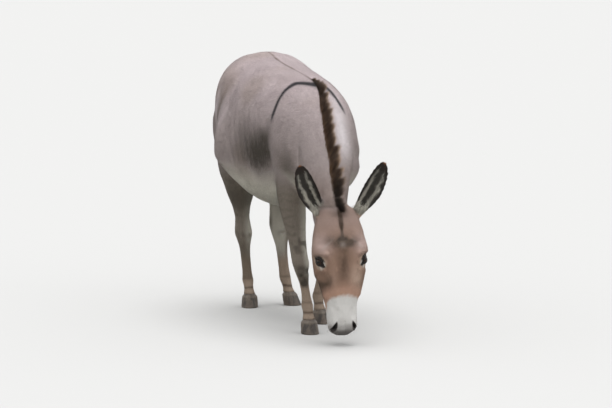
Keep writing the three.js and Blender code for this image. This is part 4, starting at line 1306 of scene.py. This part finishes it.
def make_hoof(node, material):
    """A hoof with a rounded, ringed wall, a flat sole with a hollow and a soft coronet."""
    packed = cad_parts[node].data
    mesh = remeshed(node + "_wall", points_of(packed), triangles_of(packed), 0.0024)
    p, net = points_of(mesh), Net(mesh)
    low, high = p.min(0), p.max(0)
    edge = ramp(p[:, 2], 0.004, 0.012)[:, None]
    q = net.soften(p, 6, 0.5) * (1 - edge) + net.soften(p, 45, 0.5) * edge
    centre = (low + high) / 2
    away = unit((q - centre) * [1, 1, 0])
    z = (p[:, 2] - low[2]) / (high[2] - low[2])
    wall = np.abs(normals_of(mesh)[:, 2]) < 0.7
    rings = 0.00045 * np.sin(2 * np.pi * (p[:, 2] / 0.0062 + 0.35 * noise(p, 0.02, 81)))
    rings += 0.0004 * noise(p, 0.012, 82)
    q = q + away * (wall * rings * ramp(z, 0.04, 0.15) * fade(z, 0.86, 0.94))[:, None]
    q = q + away * (wall * 0.0016 * bell(z, 0.9, 0.05))[:, None]
    under = p[:, 2] < low[2] + 0.002
    frog = under & (np.linalg.norm((p - centre)[:, :2], axis=1) < 0.028)
    q[:, 2] = np.where(under, low[2] + 0.0016 * frog, q[:, 2])
    q[:, 2] = np.maximum(q[:, 2], low[2])
    top = ramp(z, 0.9, 0.99)
    q = q - away * (0.0045 * top)[:, None]
    q[:, 2] += 0.007 * top
    place_points(mesh, q)
    dark = ramp(noise(p * [1, 1, 0.1], 0.01, 83), -0.3, 0.6)
    tone = mix((0.105, 0.082, 0.064), (0.045, 0.036, 0.03), dark)
    tone = mix(tone, (0.2, 0.165, 0.13), 0.5 * bell(z, 0.9, 0.07) + 0.35 * ramp(noise(p, 0.03, 84), 0, 0.8))
    tone = mix(tone, (0.16, 0.14, 0.11), 0.6 * fade(z, 0.0, 0.1))
    add_values(mesh, "tone", tone)
    add_values(mesh, "streaks", p * [1, 1, 0.12], "FLOAT_VECTOR")
    ob = add_object(node + "_wall", mesh, material)
    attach(ob, "root")
    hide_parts(node)


EYE, HORN = eye_material(), horn_material()
for _side in EYES:
    make_eye(_side, EYE)
for _node in ("hoof_fore_right", "hoof_fore_left", "hoof_hind_right", "hoof_hind_left"):
    make_hoof(_node, HORN)


#  floor, light and camera

PALE = (0.545, 0.545, 0.54)  # the floor's own colour, where the camera sees it
SKY = (0.875, 0.875, 0.868)  # what the lit floor shows, so that no horizon is seen


def make_floor():
    """A plain pale floor that throws less light back up than it shows."""
    m = new_material("floor")
    seen = m.add("LightPath").outputs["Is Camera Ray"]
    colour = m.add("Mix", {0: seen, 6: (0.34, 0.335, 0.32, 1), 7: (*PALE, 1)}, data_type="RGBA")
    m.set(Base_Color=colour.outputs[2], Roughness=0.95, Specular_IOR_Level=0.0)
    corners = [(-80, -80, 0), (80, -80, 0), (80, 80, 0), (-80, 80, 0)]
    mesh = make_mesh("floor", corners, np.array([[0, 1, 2, 3]]))
    add_object("floor", mesh, m.material, smooth=False)


def sun(name, place, strength, softness):
    lamp = bpy.data.lights.new(name, "SUN")
    lamp.energy, lamp.angle = strength, math.radians(softness)
    ob = bpy.data.objects.new(name, lamp)
    ob.rotation_euler = (-Vector(place)).to_track_quat("-Z", "Y").to_euler()
    bpy.context.scene.collection.objects.link(ob)


def make_light():
    """A pale sky for the camera to see, a white one that lights the donkey, and two soft suns."""
    world = bpy.data.worlds.new("studio")
    m = Nodes(world)
    sky = m.tree.nodes["Background"]
    m.put(sky.inputs["Color"], (1.0, 1.0, 1.0, 1))
    m.put(sky.inputs["Strength"], 0.92)
    seen = m.add("LightPath").outputs["Is Camera Ray"]
    shown = m.add("Background", {"Color": (*SKY, 1)})
    either = m.add("MixShader", {0: seen, 1: sky.outputs[0], 2: shown.outputs[0]})
    m.put(m.tree.nodes["World Output"].inputs["Surface"], either.outputs[0])
    bpy.context.scene.world = world
    sun("key", (0.05, 0.1, 1.45), 1.85, 50)
    sun("fill", (0.1, -1.0, 0.55), 0.8, 80)


def make_camera():
    """The photo's camera: a long lens before the donkey, 19 degrees to its right and a little above."""
    camera = bpy.data.cameras.new("camera")
    camera.sensor_width, camera.lens = 36, 141.2
    camera.clip_end = 300
    ob = bpy.data.objects.new("camera", camera)
    ob.location = (-3.506, -10.269, 1.6625)
    ob.rotation_euler = (math.radians(90 - 5.92), 0, math.radians(-19))
    bpy.context.scene.collection.objects.link(ob)
    bpy.context.scene.camera = ob
    bpy.context.scene.view_settings.view_transform = "Standard"


make_floor()
make_light()
make_camera()
